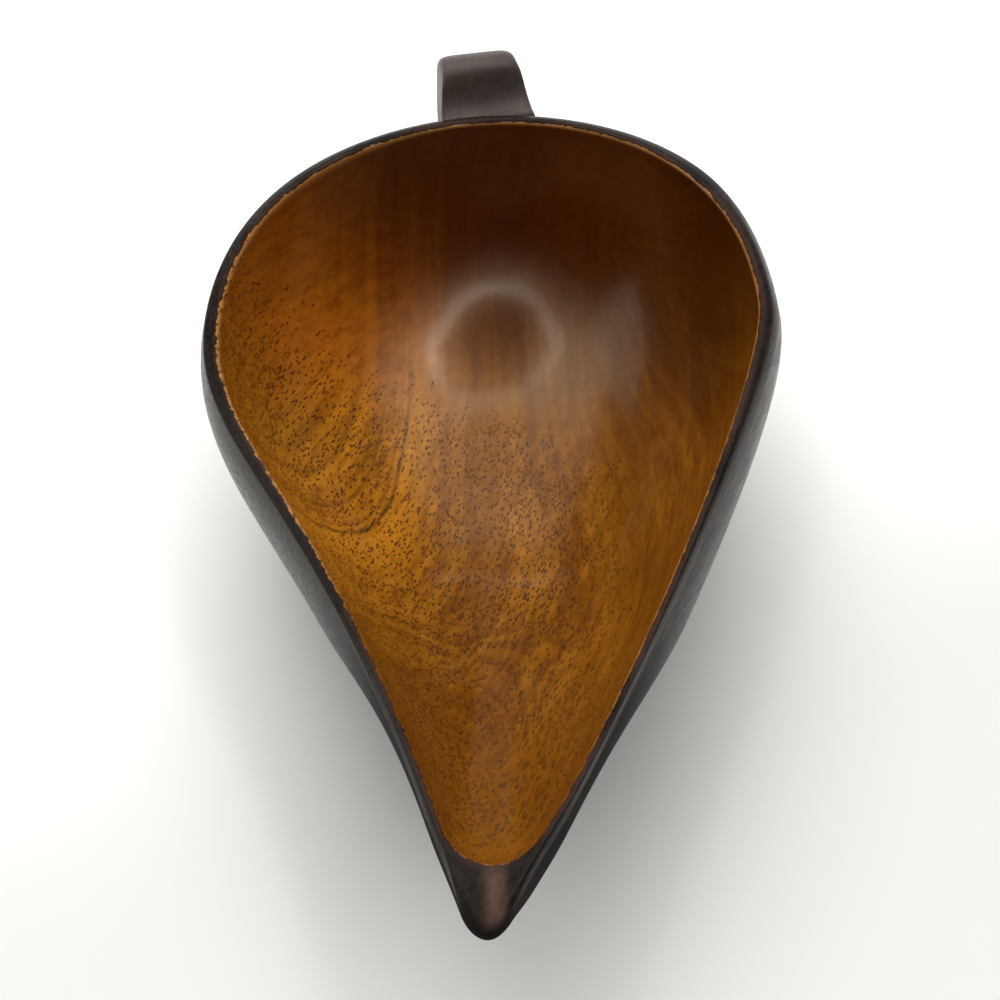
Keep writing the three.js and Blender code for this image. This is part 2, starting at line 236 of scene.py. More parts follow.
def new_material(name: str) -> tuple[bpy.types.Material, NodeBench, bpy.types.Node]:
    """Starts a node material.

    Args:
        name: its name.

    Returns:
        The material, the bench for its nodes and its main shader.
    """
    material = bpy.data.materials.new(name)
    material.use_nodes = True
    bench = NodeBench(material.node_tree)
    return material, bench, material.node_tree.nodes["Principled BSDF"]


@dataclass(frozen=True)
class Fibre:
    """How the log lay: the pith's line and the way that the fibres run, in millimetres."""

    pith: Triple = (27.53, -13.52, 52.11)
    along: Triple = (0.328, 0.8933, -0.3074)

    def radius(self, bench: NodeBench, spot: Any) -> Socket:
        """Adds the distance from the pith's line.

        Args:
            bench: the material's nodes.
            spot: the place on the piece.

        Returns:
            The distance in millimetres.
        """
        place = bench.vector("SUBTRACT", spot, self.pith)
        run = bench.dot(place, self.along)
        return bench.vector("LENGTH", bench.vector("SUBTRACT", place, bench.vector("SCALE", self.along, run)))

    def grain(self, bench: NodeBench, spot: Any, stretch: float) -> Socket:
        """Adds a place that is drawn out along the fibres.

        Args:
            bench: the material's nodes.
            spot: the place on the piece.
            stretch: how much longer a pattern gets.

        Returns:
            The drawn-out place.
        """
        along = Vector(self.along)
        side = along.cross(Vector((0.0, 0.0, 1.0))).normalized()
        rise = side.cross(along).normalized()
        run = bench.math("DIVIDE", bench.dot(spot, self.along), stretch)
        return bench.pack(X=bench.dot(spot, tuple(side)), Y=bench.dot(spot, tuple(rise)), Z=run)


@dataclass(frozen=True)
class Pattern:
    """A noise pattern: features per millimetre, finer layers, their weight, and stretch along fibres."""

    scale: float
    detail: float
    roughness: float = 0.5
    stretch: float | None = None

    def lay(self, bench: NodeBench, spot: Any, fibre: Fibre | None = None) -> Socket:
        """Adds the pattern, drawn out along the fibres if it has a stretch."""
        place = spot if self.stretch is None else fibre.grain(bench, spot, self.stretch)
        return bench.noise(place, self.scale, self.detail, self.roughness)


@dataclass(frozen=True)
class Zone:
    """A soft-edged part of a piece: for each edge its axis, where it starts and where it is full."""

    edges: tuple[tuple[str, float, float], ...]

    def mark(self, bench: NodeBench, spot: Any) -> Socket:
        """Adds the zone: one inside it and nothing outside."""
        parts = bench.split(spot)
        return bench.times(*(bench.smooth(parts[axis], start, full) for axis, start, full in self.edges))


@dataclass(frozen=True)
class Band:
    """A soft dark line: its place and half width in millimetres, and how dark it is."""

    place: float
    half_width: float
    strength: float

    def mark(self, bench: NodeBench, value: Any) -> Socket:
        """Adds the line along a number: its strength in the middle and nothing past its edges."""
        off = bench.math("ABSOLUTE", bench.math("SUBTRACT", value, self.place))
        return bench.times(bench.smooth(off, self.half_width, 0.0), self.strength)


@dataclass(frozen=True)
class PoreLayer:
    """Pores of one size: cells per millimetre, stretch, radius in a cell and share of filled cells."""

    scale: float
    stretch: float
    radius: float
    share: float


@dataclass(frozen=True)
class WoodFields:
    """The patterns that the steps of the golden wood share."""

    spot: Socket
    radius: Socket
    deep: Socket
    streak: Socket
    ribbon: Socket
    fleck: Socket
    stripe: Socket
    cloud: Socket
    spread: Socket
    arcs: Socket

    def stirred(self, bench: NodeBench, value: Any, parts: Stirs) -> Socket:
        """Moves a number by some of the patterns, named with how much each counts."""
        return bench.stir(value, *((getattr(self, name), amount) for name, amount in parts))


@dataclass(frozen=True)
class GoldenWood:
    """Golden open-grained hardwood under a clear semi-gloss lacquer."""

    fibre: Fibre = Fibre()
    spout_fibre: Fibre = Fibre(pith=(-0.95, -29.8, 43.3), along=(-0.307, 0.829, -0.467))
    rings: tuple[Band, ...] = (
        Band(65.5, 0.4, 0.95),
        Band(66.4, 0.3, 0.4),
        Band(68.6, 0.45, 0.65),
        Band(70.4, 0.4, 0.25),
        Band(72.2, 0.6, 0.55),
        Band(74.6, 0.6, 0.3),
        Band(61.6, 0.8, 0.15),
        Band(57.4, 0.7, 0.2),
    )
    ribbons: tuple[Band, ...] = (Band(26.0, 9.0, 0.5), Band(16.0, 3.0, 0.45), Band(-5.0, 9.0, 0.4))
    pale: Triple = (0.29, 0.108, 0.006)
    golden: Triple = (0.2, 0.068, 0.003)
    amber: Triple = (0.145, 0.044, 0.0016)
    brown: Triple = (0.095, 0.026, 0.001)
    red: Triple = (0.15, 0.032, 0.001)
    # Dark heartwood colour, which also serves as painted shade on the back and right walls.
    heart_and_shade: Triple = (0.038, 0.0068, 0.0002)
    pore: Triple = (0.038, 0.0105, 0.001)
    sap: Triple = (0.46, 0.172, 0.009)
    lip: Triple = (0.36, 0.16, 0.045)
    # Warm tint on the wood's reflections: painted light colour, standing in for warm light.
    warm_light_tint: Triple = (1.0, 0.74, 0.46)
    warps: tuple[tuple[Pattern, float], ...] = (
        (Pattern(0.02, 2.0), 2.0),
        (Pattern(0.35, 3.0, stretch=9.0), 0.8),
        (Pattern(1.1, 2.0, stretch=3.0), 0.5),
    )
    streak: Pattern = Pattern(1.6, 3.0, stretch=9.0)
    ribbon: Pattern = Pattern(0.5, 3.0, stretch=14.0)
    fleck: Pattern = Pattern(1.1, 3.0, 0.65, 3.5)
    stripe: Pattern = Pattern(0.21, 3.0, 0.6)
    stripe_pull: Triple = (1.0, 0.1, 0.05)
    cloud: Pattern = Pattern(0.045, 3.0)
    calm_reach: Span = (28.0, -4.0)
    tone_middle: float = 0.52
    ring_tones: tuple[Span, ...] = ((0.12, 0.4), (0.6, 0.22))
    ring_detail: float = 2.0
    arc_tone: float = 0.11
    tone_stirs: Stirs = (("streak", 0.38), ("ribbon", 0.5), ("fleck", 0.38), ("cloud", 0.35))
    tone_stops: tuple[float, ...] = (0.3, 0.44, 0.56, 0.74)
    blush_rise: Span = (65.4, 67.0)
    blush_fall: Span = (71.5, 68.5)
    blush_share: float = 0.25
    # How far the dark heartwood colour reaches towards the back and right: partly heartwood, partly painted
    # shade on those walls.
    heart_and_shade_way: Triple = (0.45, 0.89, 0.0)
    heart_and_shade_stirs: Stirs = (("cloud", 12.0), ("ribbon", 10.0), ("stripe", 46.0))
    heart_and_shade_reach: Span = (0.0, 47.0)
    heart_and_shade_share: float = 0.86
    lobe_zone: Zone = Zone((("X", -2.0, -34.0), ("Y", -58.0, -20.0), ("Y", 54.0, 22.0)))
    lobe_tone: Span = (0.25, 0.8)
    lobe_shares: Span = (0.22, 1.0)
    # A redder, darker tint towards the back-left wall: partly the wood's colour, partly painted shade.
    russet_shade_way: Triple = (-0.5, 0.87, 0.0)
    russet_shade_stirs: Stirs = (("stripe", 20.0), ("cloud", 10.0))
    russet_shade_reach: Span = (19.0, 42.0)
    russet_shade_tint: Triple = (0.96, 0.73, 0.58)
    ribbon_stirs: Stirs = (("stripe", 6.0), ("cloud", 10.0))
    ribbon_zone: Zone = Zone((("Y", -58.0, -30.0), ("Y", 26.0, 0.0)))
    spout_zone: Zone = Zone((("Y", -30.0, -84.0),))
    spout_share: float = 0.6
    lip_side: Span = (-10.0, -38.0)
    lip_start: Span = (50.9, 49.2)
    lip_full: float = 51.5
    lip_shares: Span = (0.4, 1.0)
    lip_end_side: Span = (4.0, -4.0)
    lip_ends: Span = (-94.0, -64.0)
    lip_fade: float = 22.0
    arc_zone: Zone = Zone((("Y", -22.0, -42.0), ("X", 20.0, 6.0), ("Y", -80.0, -58.0)))
    arc_warp: Pattern = Pattern(0.06, 2.0)
    arc_warp_size: float = 0.4
    arc_scale: float = 2.5
    arc_edges: Span = (0.36, 0.64)
    line_streak: Span = (0.36, 0.56)
    line_shares: Span = (0.2, 0.9)
    line_zone: Zone = Zone((("Y", 34.0, 2.0),))
    row_step: float = 0.9
    row_edges: Span = (0.1, 0.8)
    row_shares: Span = (0.6, 1.0)
    arc_rows: Span = (2.2, 0.45)
    pore_layers: tuple[PoreLayer, ...] = (PoreLayer(1.4, 4.5, 0.36, 1.1), PoreLayer(1.3, 1.8, 0.39, 1.15))
    pore_zone: Zone = Zone((("Y", 36.0, 6.0), ("Y", -108.0, -80.0), ("X", 30.0, 10.0)))
    pore_patches: Pattern = Pattern(0.09, 2.0)
    patch_edges: Span = (0.3, 0.66)
    patch_shares: Span = (0.4, 1.2)
    pore_core: float = 0.55
    pore_fill: float = 0.05
    pore_heart_and_shade: Span = (0.4, 0.05)
    pore_share: float = 0.86
    pore_roughness: float = 0.2
    roughness: Span = (0.2, 0.32)
    specular: float = 0.62
    coat: float = 0.2
    coat_roughness: float = 0.06
    carving: Pattern = Pattern(0.07, 1.0)
    carving_bump: Span = (0.5, 0.0005)
    fibre_bump: Span = (0.35, 0.000025)

    def material(self) -> bpy.types.Material:
        """Builds the material.

        Returns:
            The material.
        """
        material, bench, shader = new_material("golden_wood")
        fields = self.fields(bench)
        inner = fields.stirred(bench, fields.deep, self.heart_and_shade_stirs)
        # Darkens the back and right walls: partly heartwood, partly painted shade.
        heart_and_shade = bench.times(bench.smooth(inner, *self.heart_and_shade_reach), self.heart_and_shade_share)
        colour = self.figure(bench, fields, heart_and_shade)
        colour = bench.mix(self.lip_mark(bench, fields), colour, self.lip)
        pores = bench.times(self.pores(bench, fields), bench.smooth(heart_and_shade, *self.pore_heart_and_shade))
        colour = self.lines(bench, fields, pores, colour)
        rough = bench.between(fields.streak, *self.roughness)
        waves = bench.bump(self.carving.lay(bench, fields.spot), *self.carving_bump)
        bump = bench.bump(fields.streak, *self.fibre_bump)
        bench.feed(bump.inputs["Normal"], waves.outputs[0])
        bench.wire(shader, {
            "Base Color": bench.mix(bench.times(pores, self.pore_share), colour, self.pore),
            "Roughness": bench.math("MULTIPLY_ADD", pores, self.pore_roughness, rough),
            "Specular IOR Level": self.specular,
            # Painted light colour: a warm tint on the reflections.
            "Specular Tint": self.warm_light_tint,
            "Coat Weight": self.coat,
            "Coat Roughness": self.coat_roughness,
            "Normal": bump.outputs[0],
            "Coat Normal": bump.outputs[0],
        })
        return material

    def fields(self, bench: NodeBench) -> WoodFields:
        """Lays the patterns that the steps share; the fine ones calm down on the dark back wall.

        Args:
            bench: the material's nodes.

        Returns:
            The patterns.
        """
        spot = bench.spot()
        warps = ((warp.lay(bench, spot, self.fibre), size) for warp, size in self.warps)
        deep = bench.dot(spot, self.heart_and_shade_way)
        front = bench.smooth(deep, *self.calm_reach)
        spread = self.arc_zone.mark(bench, spot)
        arc_warp = (self.arc_warp.lay(bench, spot), self.arc_warp_size)
        arc_radius = bench.stir(self.spout_fibre.radius(bench, spot), arc_warp)
        return WoodFields(
            spot=spot,
            radius=bench.stir(self.fibre.radius(bench, spot), *warps),
            deep=deep,
            streak=bench.between(front, 0.5, self.streak.lay(bench, spot, self.fibre)),
            ribbon=self.ribbon.lay(bench, spot, self.fibre),
            fleck=bench.between(front, 0.5, self.fleck.lay(bench, spot, self.fibre)),
            stripe=self.stripe.lay(bench, bench.vector("MULTIPLY", spot, self.stripe_pull)),
            cloud=self.cloud.lay(bench, spot),
            spread=spread,
            arcs=bench.smooth(bench.bands(arc_radius, self.arc_scale, self.ring_detail), *self.arc_edges),
        )

    def figure(self, bench: NodeBench, fields: WoodFields, heart_and_shade: Any) -> Socket:
        """Colours the wood: its rings and fibres, then heartwood with painted shade on the back and right
        walls, sapwood, a russet tint with painted shade on the back-left wall, ribbons and spout.

        Args:
            bench: the material's nodes.
            fields: the shared patterns.
            heart_and_shade: how far the wood is darkened, partly as dark heartwood and partly as painted
                shade on the back and right walls.

        Returns:
            The colour, before lip, lines and pores.
        """
        radius, spot = fields.radius, fields.spot
        bands = ((bench.bands(radius, scale, self.ring_detail), size) for scale, size in self.ring_tones)
        arcs = (bench.between(fields.spread, 0.5, fields.arcs), self.arc_tone)
        tone = fields.stirred(bench, bench.stir(self.tone_middle, *bands, arcs), self.tone_stirs)
        colours = (self.brown, self.amber, self.golden, self.pale)
        colour = bench.ramp(tone, tuple(zip(self.tone_stops, colours)))
        blush = (bench.smooth(radius, *self.blush_rise), bench.smooth(radius, *self.blush_fall))
        colour = bench.mix(bench.times(*blush, self.blush_share), colour, self.red)
        # Painted shade and heartwood: darkens the back and right walls.
        colour = bench.mix(heart_and_shade, colour, self.heart_and_shade)
        lit = bench.between(bench.smooth(tone, *self.lobe_tone), *self.lobe_shares)
        colour = bench.mix(bench.times(self.lobe_zone.mark(bench, spot), lit), colour, self.sap)
        # Redder, darker towards the back-left wall: partly the wood's colour, partly painted shade.
        russet_shade = fields.stirred(bench, bench.dot(spot, self.russet_shade_way), self.russet_shade_stirs)
        tinted = bench.vector("MULTIPLY", colour, self.russet_shade_tint)
        colour = bench.mix(bench.smooth(russet_shade, *self.russet_shade_reach), colour, tinted)
        aside = fields.stirred(bench, bench.split(spot)["X"], self.ribbon_stirs)
        floor = self.ribbon_zone.mark(bench, spot)
        for ribbon in self.ribbons:
            colour = bench.mix(bench.times(ribbon.mark(bench, aside), floor), colour, self.brown)
        spout = bench.times(self.spout_zone.mark(bench, spot), self.spout_share)
        return bench.mix(spout, colour, self.amber)

    def lip_mark(self, bench: NodeBench, fields: WoodFields) -> Socket:
        """Marks the pale cut edge of the hollow, which starts lower on the left and fades at the spout.

        Args:
            bench: the material's nodes.
            fields: the shared patterns.

        Returns:
            How far the wood is the lip's colour.
        """
        parts = bench.split(fields.spot)
        start = bench.between(bench.smooth(parts["X"], *self.lip_side), *self.lip_start)
        end = bench.between(bench.smooth(parts["X"], *self.lip_end_side), *self.lip_ends)
        return bench.times(
            bench.smooth(parts["Z"], start, self.lip_full),
            bench.between(fields.streak, *self.lip_shares),
            bench.smooth(bench.math("SUBTRACT", parts["Y"], end), 0.0, self.lip_fade),
        )

    def lines(self, bench: NodeBench, fields: WoodFields, pores: Any, colour: Any) -> Socket:
        """Draws the dark growth lines over a colour.

        Args:
            bench: the material's nodes.
            fields: the shared patterns.
            pores: the pores, which gather on the lines.
            colour: the wood's colour.

        Returns:
            The colour with its lines.
        """
        broken = bench.between(bench.smooth(fields.streak, *self.line_streak), *self.line_shares)
        broken = bench.times(bench.math("MAXIMUM", broken, pores), self.line_zone.mark(bench, fields.spot))
        for ring in self.rings:
            colour = bench.mix(bench.times(ring.mark(bench, fields.radius), broken), colour, self.pore)
        return colour

    def pores(self, bench: NodeBench, fields: WoodFields) -> Socket:
        """Scatters the short dark pores of the open grain, in rows along the rings and arcs.

        Args:
            bench: the material's nodes.
            fields: the shared patterns.

        Returns:
            One inside a pore and nothing outside.
        """
        spot = fields.spot
        row = bench.smooth(bench.math("PINGPONG", fields.radius, self.row_step), *self.row_edges)
        arc_row = bench.between(fields.arcs, *self.arc_rows)
        row = bench.between(fields.spread, bench.between(row, *self.row_shares), arc_row)
        patches = bench.smooth(self.pore_patches.lay(bench, spot), *self.patch_edges)
        patches = bench.between(patches, *self.patch_shares)
        crowd = bench.times(row, patches, self.pore_zone.mark(bench, spot))
        total = 0.0
        for layer in self.pore_layers:
            grain = self.fibre.grain(bench, spot, layer.stretch)
            cells = bench.lay("ShaderNodeTexVoronoi", {"Vector": grain, "Scale": layer.scale}).outputs
            lot = bench.lay("ShaderNodeSeparateColor", {0: cells["Color"]}).outputs[0]
            filled = bench.math("MULTIPLY_ADD", crowd, layer.share, bench.times(lot, -1.0))
            inside = bench.smooth(cells["Distance"], layer.radius, self.pore_core * layer.radius)
            part = bench.times(inside, bench.smooth(filled, 0.0, self.pore_fill))
            total = bench.math("MAXIMUM", total, part)
        return total


@dataclass(frozen=True)
class DarkLacquer:
    """Satin brown-black lacquer, worn reddish along the nose's ridge, with painted shade below the nose's
    edge.
    """

    fibre: Fibre = Fibre()
    deep: Triple = (0.0085, 0.0056, 0.0042)
    body: Triple = (0.02, 0.0132, 0.0105)
    # Near-black painted shade for the outer wall below the nose's edge.
    painted_shade: Triple = (0.007, 0.0045, 0.004)
    thin: Triple = (0.055, 0.025, 0.018)
    worn: Triple = (0.12, 0.064, 0.047)
    streak: Pattern = Pattern(1.1, 4.0, 0.6, 7.0)
    streak_tone: float = 0.8
    cloud: Pattern = Pattern(0.07, 3.0)
    tone_edges: Span = (0.28, 0.72)
    thin_reach: Span = (1.8, 0.1)
    thin_clouds: Span = (0.3, 0.6)
    thin_share: float = 0.6
    ridge_x: float = -1.3
    ridge_edges: Span = (2.5, 0.2)
    ridge_zone: Zone = Zone((("Y", -99.0, -102.5), ("Z", 47.0, 51.5)))
    ridge_shares: Span = (0.3, 0.9)
    under_zone: Zone = Zone((("Y", -52.0, -84.0), ("Z", 51.2, 49.8)))
    streak_edges: Span = (0.3, 0.7)
    roughness: Span = (0.22, 0.36)
    under_roughness: float = 0.75
    specular: float = 0.1
    pit_scale: float = 1.3
    pit_edges: Span = (0.32, 0.08)
    pit_depth: float = -0.7
    streak_height: float = 0.8
    bump: Span = (0.4, 0.00015)

    def material(self) -> bpy.types.Material:
        """Builds the material, with near-black painted shade on the outer wall below the nose's edge.

        Returns:
            The material.
        """
        material, bench, shader = new_material("dark_lacquer")
        spot = bench.spot()
        streak = self.streak.lay(bench, spot, self.fibre)
        cloud = self.cloud.lay(bench, spot)
        tone = bench.stir(cloud, (streak, self.streak_tone))
        colour = bench.mix(bench.smooth(tone, *self.tone_edges), self.deep, self.body)
        edge = bench.lay("ShaderNodeAttribute", attribute_name="from_edge").outputs["Fac"]
        near = (bench.smooth(edge, *self.thin_reach), bench.smooth(cloud, *self.thin_clouds))
        colour = bench.mix(bench.times(*near, self.thin_share), colour, self.thin)
        colour = bench.mix(self.wear(bench, spot, streak), colour, self.worn)
        # Painted shade: marks the outer wall below the nose's edge, which turns near-black and rough.
        under = self.under_zone.mark(bench, spot)
        rough = bench.between(bench.smooth(streak, *self.streak_edges), *self.roughness)
        grain = self.fibre.grain(bench, spot, self.streak.stretch)
        pits = bench.lay("ShaderNodeTexVoronoi", {"Vector": grain, "Scale": self.pit_scale})
        pit = bench.smooth(pits.outputs["Distance"], *self.pit_edges)
        height = bench.math("MULTIPLY_ADD", pit, self.pit_depth, bench.times(streak, self.streak_height))
        bench.wire(shader, {
            "Base Color": bench.mix(under, colour, self.painted_shade),
            "Roughness": bench.between(under, rough, self.under_roughness),
            "Specular IOR Level": self.specular,
            "Normal": bench.bump(height, *self.bump).outputs[0],
        })
        return material

    def wear(self, bench: NodeBench, spot: Any, streak: Any) -> Socket:
        """Marks the rubbed ridge of the nose.

        Args:
            bench: the material's nodes.
            spot: the place on the piece.
            streak: fine fibre tone that breaks the mark up.

        Returns:
            How far the lacquer is rubbed, from 0 to 1.
        """
        off = bench.math("ABSOLUTE", bench.math("SUBTRACT", bench.split(spot)["X"], self.ridge_x))
        strip = bench.smooth(off, *self.ridge_edges)
        rubbed = bench.between(streak, *self.ridge_shares)
        return bench.times(strip, self.ridge_zone.mark(bench, spot), rubbed)


@dataclass(frozen=True)
class StainedWood:
    """Dark-stained wood of the handle under a satin lacquer: its colour is lightened as painted fill light on
    the front, and its rear keeps the darker stained colour.
    """

    # Colours lightened as painted fill light on the handle's front.
    deep: Triple = (0.052, 0.0365, 0.031)
    body: Triple = (0.08, 0.057, 0.049)
    # The stained wood's own darker colour, kept at the handle's rear.
    outside: Triple = (0.026, 0.018, 0.0155)
    outside_stir: float = 4.0
    outside_reach: Span = (64.0, 74.0)
    outside_share: float = 0.8
    fibre: Fibre = Fibre(pith=(0.0, 60.0, 40.0), along=(-0.2, 0.75, 0.63))
    streak: Pattern = Pattern(1.1, 4.0, 0.6, 7.0)
    streak_tone: float = 0.8
    cloud: Pattern = Pattern(0.12, 3.0)
    tone_edges: Span = (0.3, 0.75)
    roughness: Span = (0.42, 0.56)
    specular: float = 0.4
    sheen: float = 0.1
    sheen_roughness: float = 0.45
    bump: Span = (0.25, 0.00012)

    def material(self) -> bpy.types.Material:
        """Builds the material.

        Returns:
            The material.
        """
        material, bench, shader = new_material("dark_wood")
        spot = bench.spot()
        streak = self.streak.lay(bench, spot, self.fibre)
        tone = bench.stir(self.cloud.lay(bench, spot), (streak, self.streak_tone))
        colour = bench.mix(bench.smooth(tone, *self.tone_edges), self.deep, self.body)
        # The front keeps the colours lightened by painted fill light; the rear turns to the darker own
        # colour.
        back = bench.stir(bench.split(spot)["Y"], (streak, self.outside_stir))
        outside = bench.times(bench.smooth(back, *self.outside_reach), self.outside_share)
        bench.wire(shader, {
            "Base Color": bench.mix(outside, colour, self.outside),
            "Roughness": bench.between(streak, *self.roughness),
            "Specular IOR Level": self.specular,
            "Sheen Weight": self.sheen,
            "Sheen Roughness": self.sheen_roughness,
            "Normal": bench.bump(streak, *self.bump).outputs[0],
        })
        return material


@dataclass(frozen=True)
class PegWood:
    """Bare turned hardwood of the locating pegs."""

    fibre: Fibre = Fibre(pith=(0.0, 60.0, 40.0), along=(-0.259, 0.966, 0.0))
    pale: Triple = (0.48, 0.3, 0.14)
    dark: Triple = (0.32, 0.18, 0.075)
    streak: Pattern = Pattern(2.2, 3.0, stretch=10.0)
    streak_edges: Span = (0.3, 0.7)
    roughness: Span = (0.55, 0.7)
    bump: Span = (0.3, 0.0001)

    def material(self) -> bpy.types.Material:
        """Builds the material.

        Returns:
            The material.
        """
        material, bench, shader = new_material("peg_wood")
        streak = self.streak.lay(bench, bench.spot(), self.fibre)
        bench.wire(shader, {
            "Base Color": bench.mix(bench.smooth(streak, *self.streak_edges), self.dark, self.pale),
            "Roughness": bench.between(streak, *self.roughness),
            "Normal": bench.bump(streak, *self.bump).outputs[0],
        })
        return material


# Outlines and meshes


def even_bezier(points: tuple[Span, ...], count: int) -> np.ndarray:
    """Walks a cubic curve in even steps.

    Args:
        points: its four control points.
        count: steps; the last point is left to the next curve.

    Returns:
        The points, one per step.
    """
    control = np.array(points, float)
    share = np.linspace(0.0, 1.0, BEZIER_SAMPLES)[:, None]
    back = 1.0 - share
    curve = back**3 * control[0] + 3 * back**2 * share * control[1]
    curve += 3 * back * share**2 * control[2] + share**3 * control[3]
    run = np.concatenate([[0.0], np.cumsum(np.linalg.norm(np.diff(curve, axis=0), axis=1))])
    stops = np.linspace(0.0, run[-1], count + 1)[:-1]
    return np.column_stack([np.interp(stops, run, curve[:, axis]) for axis in (0, 1)])


@dataclass(frozen=True)
class RimEdge:
    """One edge of the rim seen from above, counter-clockwise from the nose."""

    nose: Span
    right: Span
    back: Span
    left: Span
    nose_radius: float
    left_angle: float
    right_angle: float
    pinch: float = 0.0
    pinch_length: float = 16.0


@dataclass(frozen=True)
class RimPlan:
    """Both edges of the rim and the curves that join their main points."""

    outer: RimEdge = RimEdge((-2.3, -109.5), (52.0, 7.5), (1.5, 60.5), (-53.5, 4.0), 4.7, 17.0, 30.0, 0.28)
    inner: RimEdge = RimEdge((-1.5, -99.6), (47.8, 7.5), (1.5, 57.7), (-50.3, 4.0), 6.9, 20.0, 44.5)
    left_flank_pull: float = 73.0
    right_flank_pull: float = 14.0
    left_shoulder_pull: float = 31.0
    right_shoulder_pull: float = 20.0
    side_pull: float = 41.5
    back_pull: float = 21.5
    nose_steps: int = 60
    flank_steps: int = 300
    back_steps: int = 160

    def both(self) -> tuple[np.ndarray, np.ndarray]:
        """Walks the inner and the outer edge."""
        return self.points(self.inner), self.points(self.outer)

    def points(self, edge: RimEdge) -> np.ndarray:
        """Walks an edge; points of the two edges match by their number.

        Args:
            edge: the edge.

        Returns:
            Its points, in millimetres.
        """
        lengthwise = (edge.left[1] - edge.nose[1]) / (self.outer.left[1] - self.outer.nose[1])
        rearward = (edge.back[1] - edge.left[1]) / (self.outer.back[1] - self.outer.left[1])
        leftward = edge.left[0] / self.outer.left[0]
        rightward = edge.right[0] / self.outer.right[0]
        centre = np.array((edge.nose[0], edge.nose[1] + edge.nose_radius))
        right_turn = math.radians(edge.right_angle)
        left_turn = math.radians(edge.left_angle)
        right_way = np.array((math.cos(right_turn), -math.sin(right_turn)))
        left_way = np.array((-math.cos(left_turn), -math.sin(left_turn)))
        right_end = centre + edge.nose_radius * right_way
        left_end = centre + edge.nose_radius * left_way
        right_pull = self.right_flank_pull * lengthwise
        left_pull = self.left_flank_pull * lengthwise
        right, back, left = (np.array(point) for point in (edge.right, edge.back, edge.left))
        turn = np.linspace(math.pi + left_turn, 2 * math.pi - right_turn, self.nose_steps + 1)[:-1]
        nose = centre + edge.nose_radius * np.column_stack([np.cos(turn), np.sin(turn)])
        ahead = np.array((0.0, 1.0))
        aside = np.array((1.0, 0.0))
        right_flank = (
            right_end,
            right_end + right_pull * np.array((-right_way[1], right_way[0])),
            right - self.right_shoulder_pull * lengthwise * ahead,
            right,
        )
        right_back = (
            right,
            right + self.side_pull * rearward * ahead,
            back + self.back_pull * rightward * aside,
            back,
        )
        left_back = (
            back,
            back - self.back_pull * leftward * aside,
            left + self.side_pull * rearward * ahead,
            left,
        )
        left_flank = (
            left,
            left - self.left_shoulder_pull * lengthwise * ahead,
            left_end + left_pull * np.array((left_way[1], -left_way[0])),
            left_end,
        )
        points = np.vstack([
            nose,
            even_bezier(right_flank, self.flank_steps),
            even_bezier(right_back, self.back_steps),
            even_bezier(left_back, self.back_steps),
            even_bezier(left_flank, self.flank_steps),
        ])
        behind = np.clip((points[:, 1] - edge.nose[1]) / edge.pinch_length, 0.0, 1.0)
        narrowed = edge.pinch * (1.0 - behind) ** 2
        points[:, 0] -= (points[:, 0] - edge.nose[0]) * narrowed
        return points


def eased(values: np.ndarray, low: float, high: float) -> np.ndarray:
    """Eases numbers from 0 at low to 1 at high."""
    share = np.clip((values - low) / (high - low), 0.0, 1.0)
    return share * share * (3.0 - 2.0 * share)


def outward(points: np.ndarray) -> np.ndarray:
    """Gives the directions square to a counter-clockwise outline.

    Args:
        points: the outline.

    Returns:
        One unit direction per point.
    """
    along = np.roll(points, -1, axis=0) - np.roll(points, 1, axis=0)
    along /= np.linalg.norm(along, axis=1)[:, None]
    return np.column_stack([along[:, 1], -along[:, 0]])


@dataclass(frozen=True)
class Rounding:
    """The rounding along a rim edge: its radius, the angles that it turns from and to, and its top."""

    roll: np.ndarray
    turn: np.ndarray
    rest: np.ndarray
    top: np.ndarray

    @property
    def reach(self) -> np.ndarray:
        """Gives how far in from the edge the rounding starts."""
        return self.roll * (np.cos(self.rest) - np.cos(self.turn))

    def lowered(self, depth: float) -> Rounding:
        """Gives the same rounding further down."""
        return Rounding(self.roll, self.turn, self.rest, self.top - depth)

    @classmethod
    def even(cls, count: int, size: float, top: float) -> Rounding:
        """Makes a rounding of one size all the way round."""
        return cls(np.full(count, size), np.full(count, math.pi / 2), np.zeros(count), np.full(count, top))


def ring_at(plan: np.ndarray, height: np.ndarray | float) -> np.ndarray:
    """Lifts an outline to a height."""
    return np.column_stack([plan, np.broadcast_to(height, len(plan))])


def strip_mesh(name: str, rings: Rings, marks: Rings | None = None) -> bpy.types.Mesh:
    """Joins closed rings of equal count into a band.

    Args:
        name: the mesh's name.
        rings: the rings in millimetres, each a step on from the last.
        marks: for each ring, the distance of its points from the lacquer's edge.

    Returns:
        The band's mesh.
    """
    count = len(rings[0])
    faces = []
    for level in range(len(rings) - 1):
        for column in range(count):
            after = (column + 1) % count
            low = level * count
            high = low + count
            faces.append((low + column, high + column, high + after, low + after))
    mesh = bpy.data.meshes.new(name)
    mesh.from_pydata((np.vstack(rings) * MM).tolist(), [], faces)
    if marks is not None:
        layer = mesh.attributes.new("from_edge", "FLOAT", "POINT")
        layer.data.foreach_set("value", np.concatenate(marks).astype(np.float32))
    return mesh


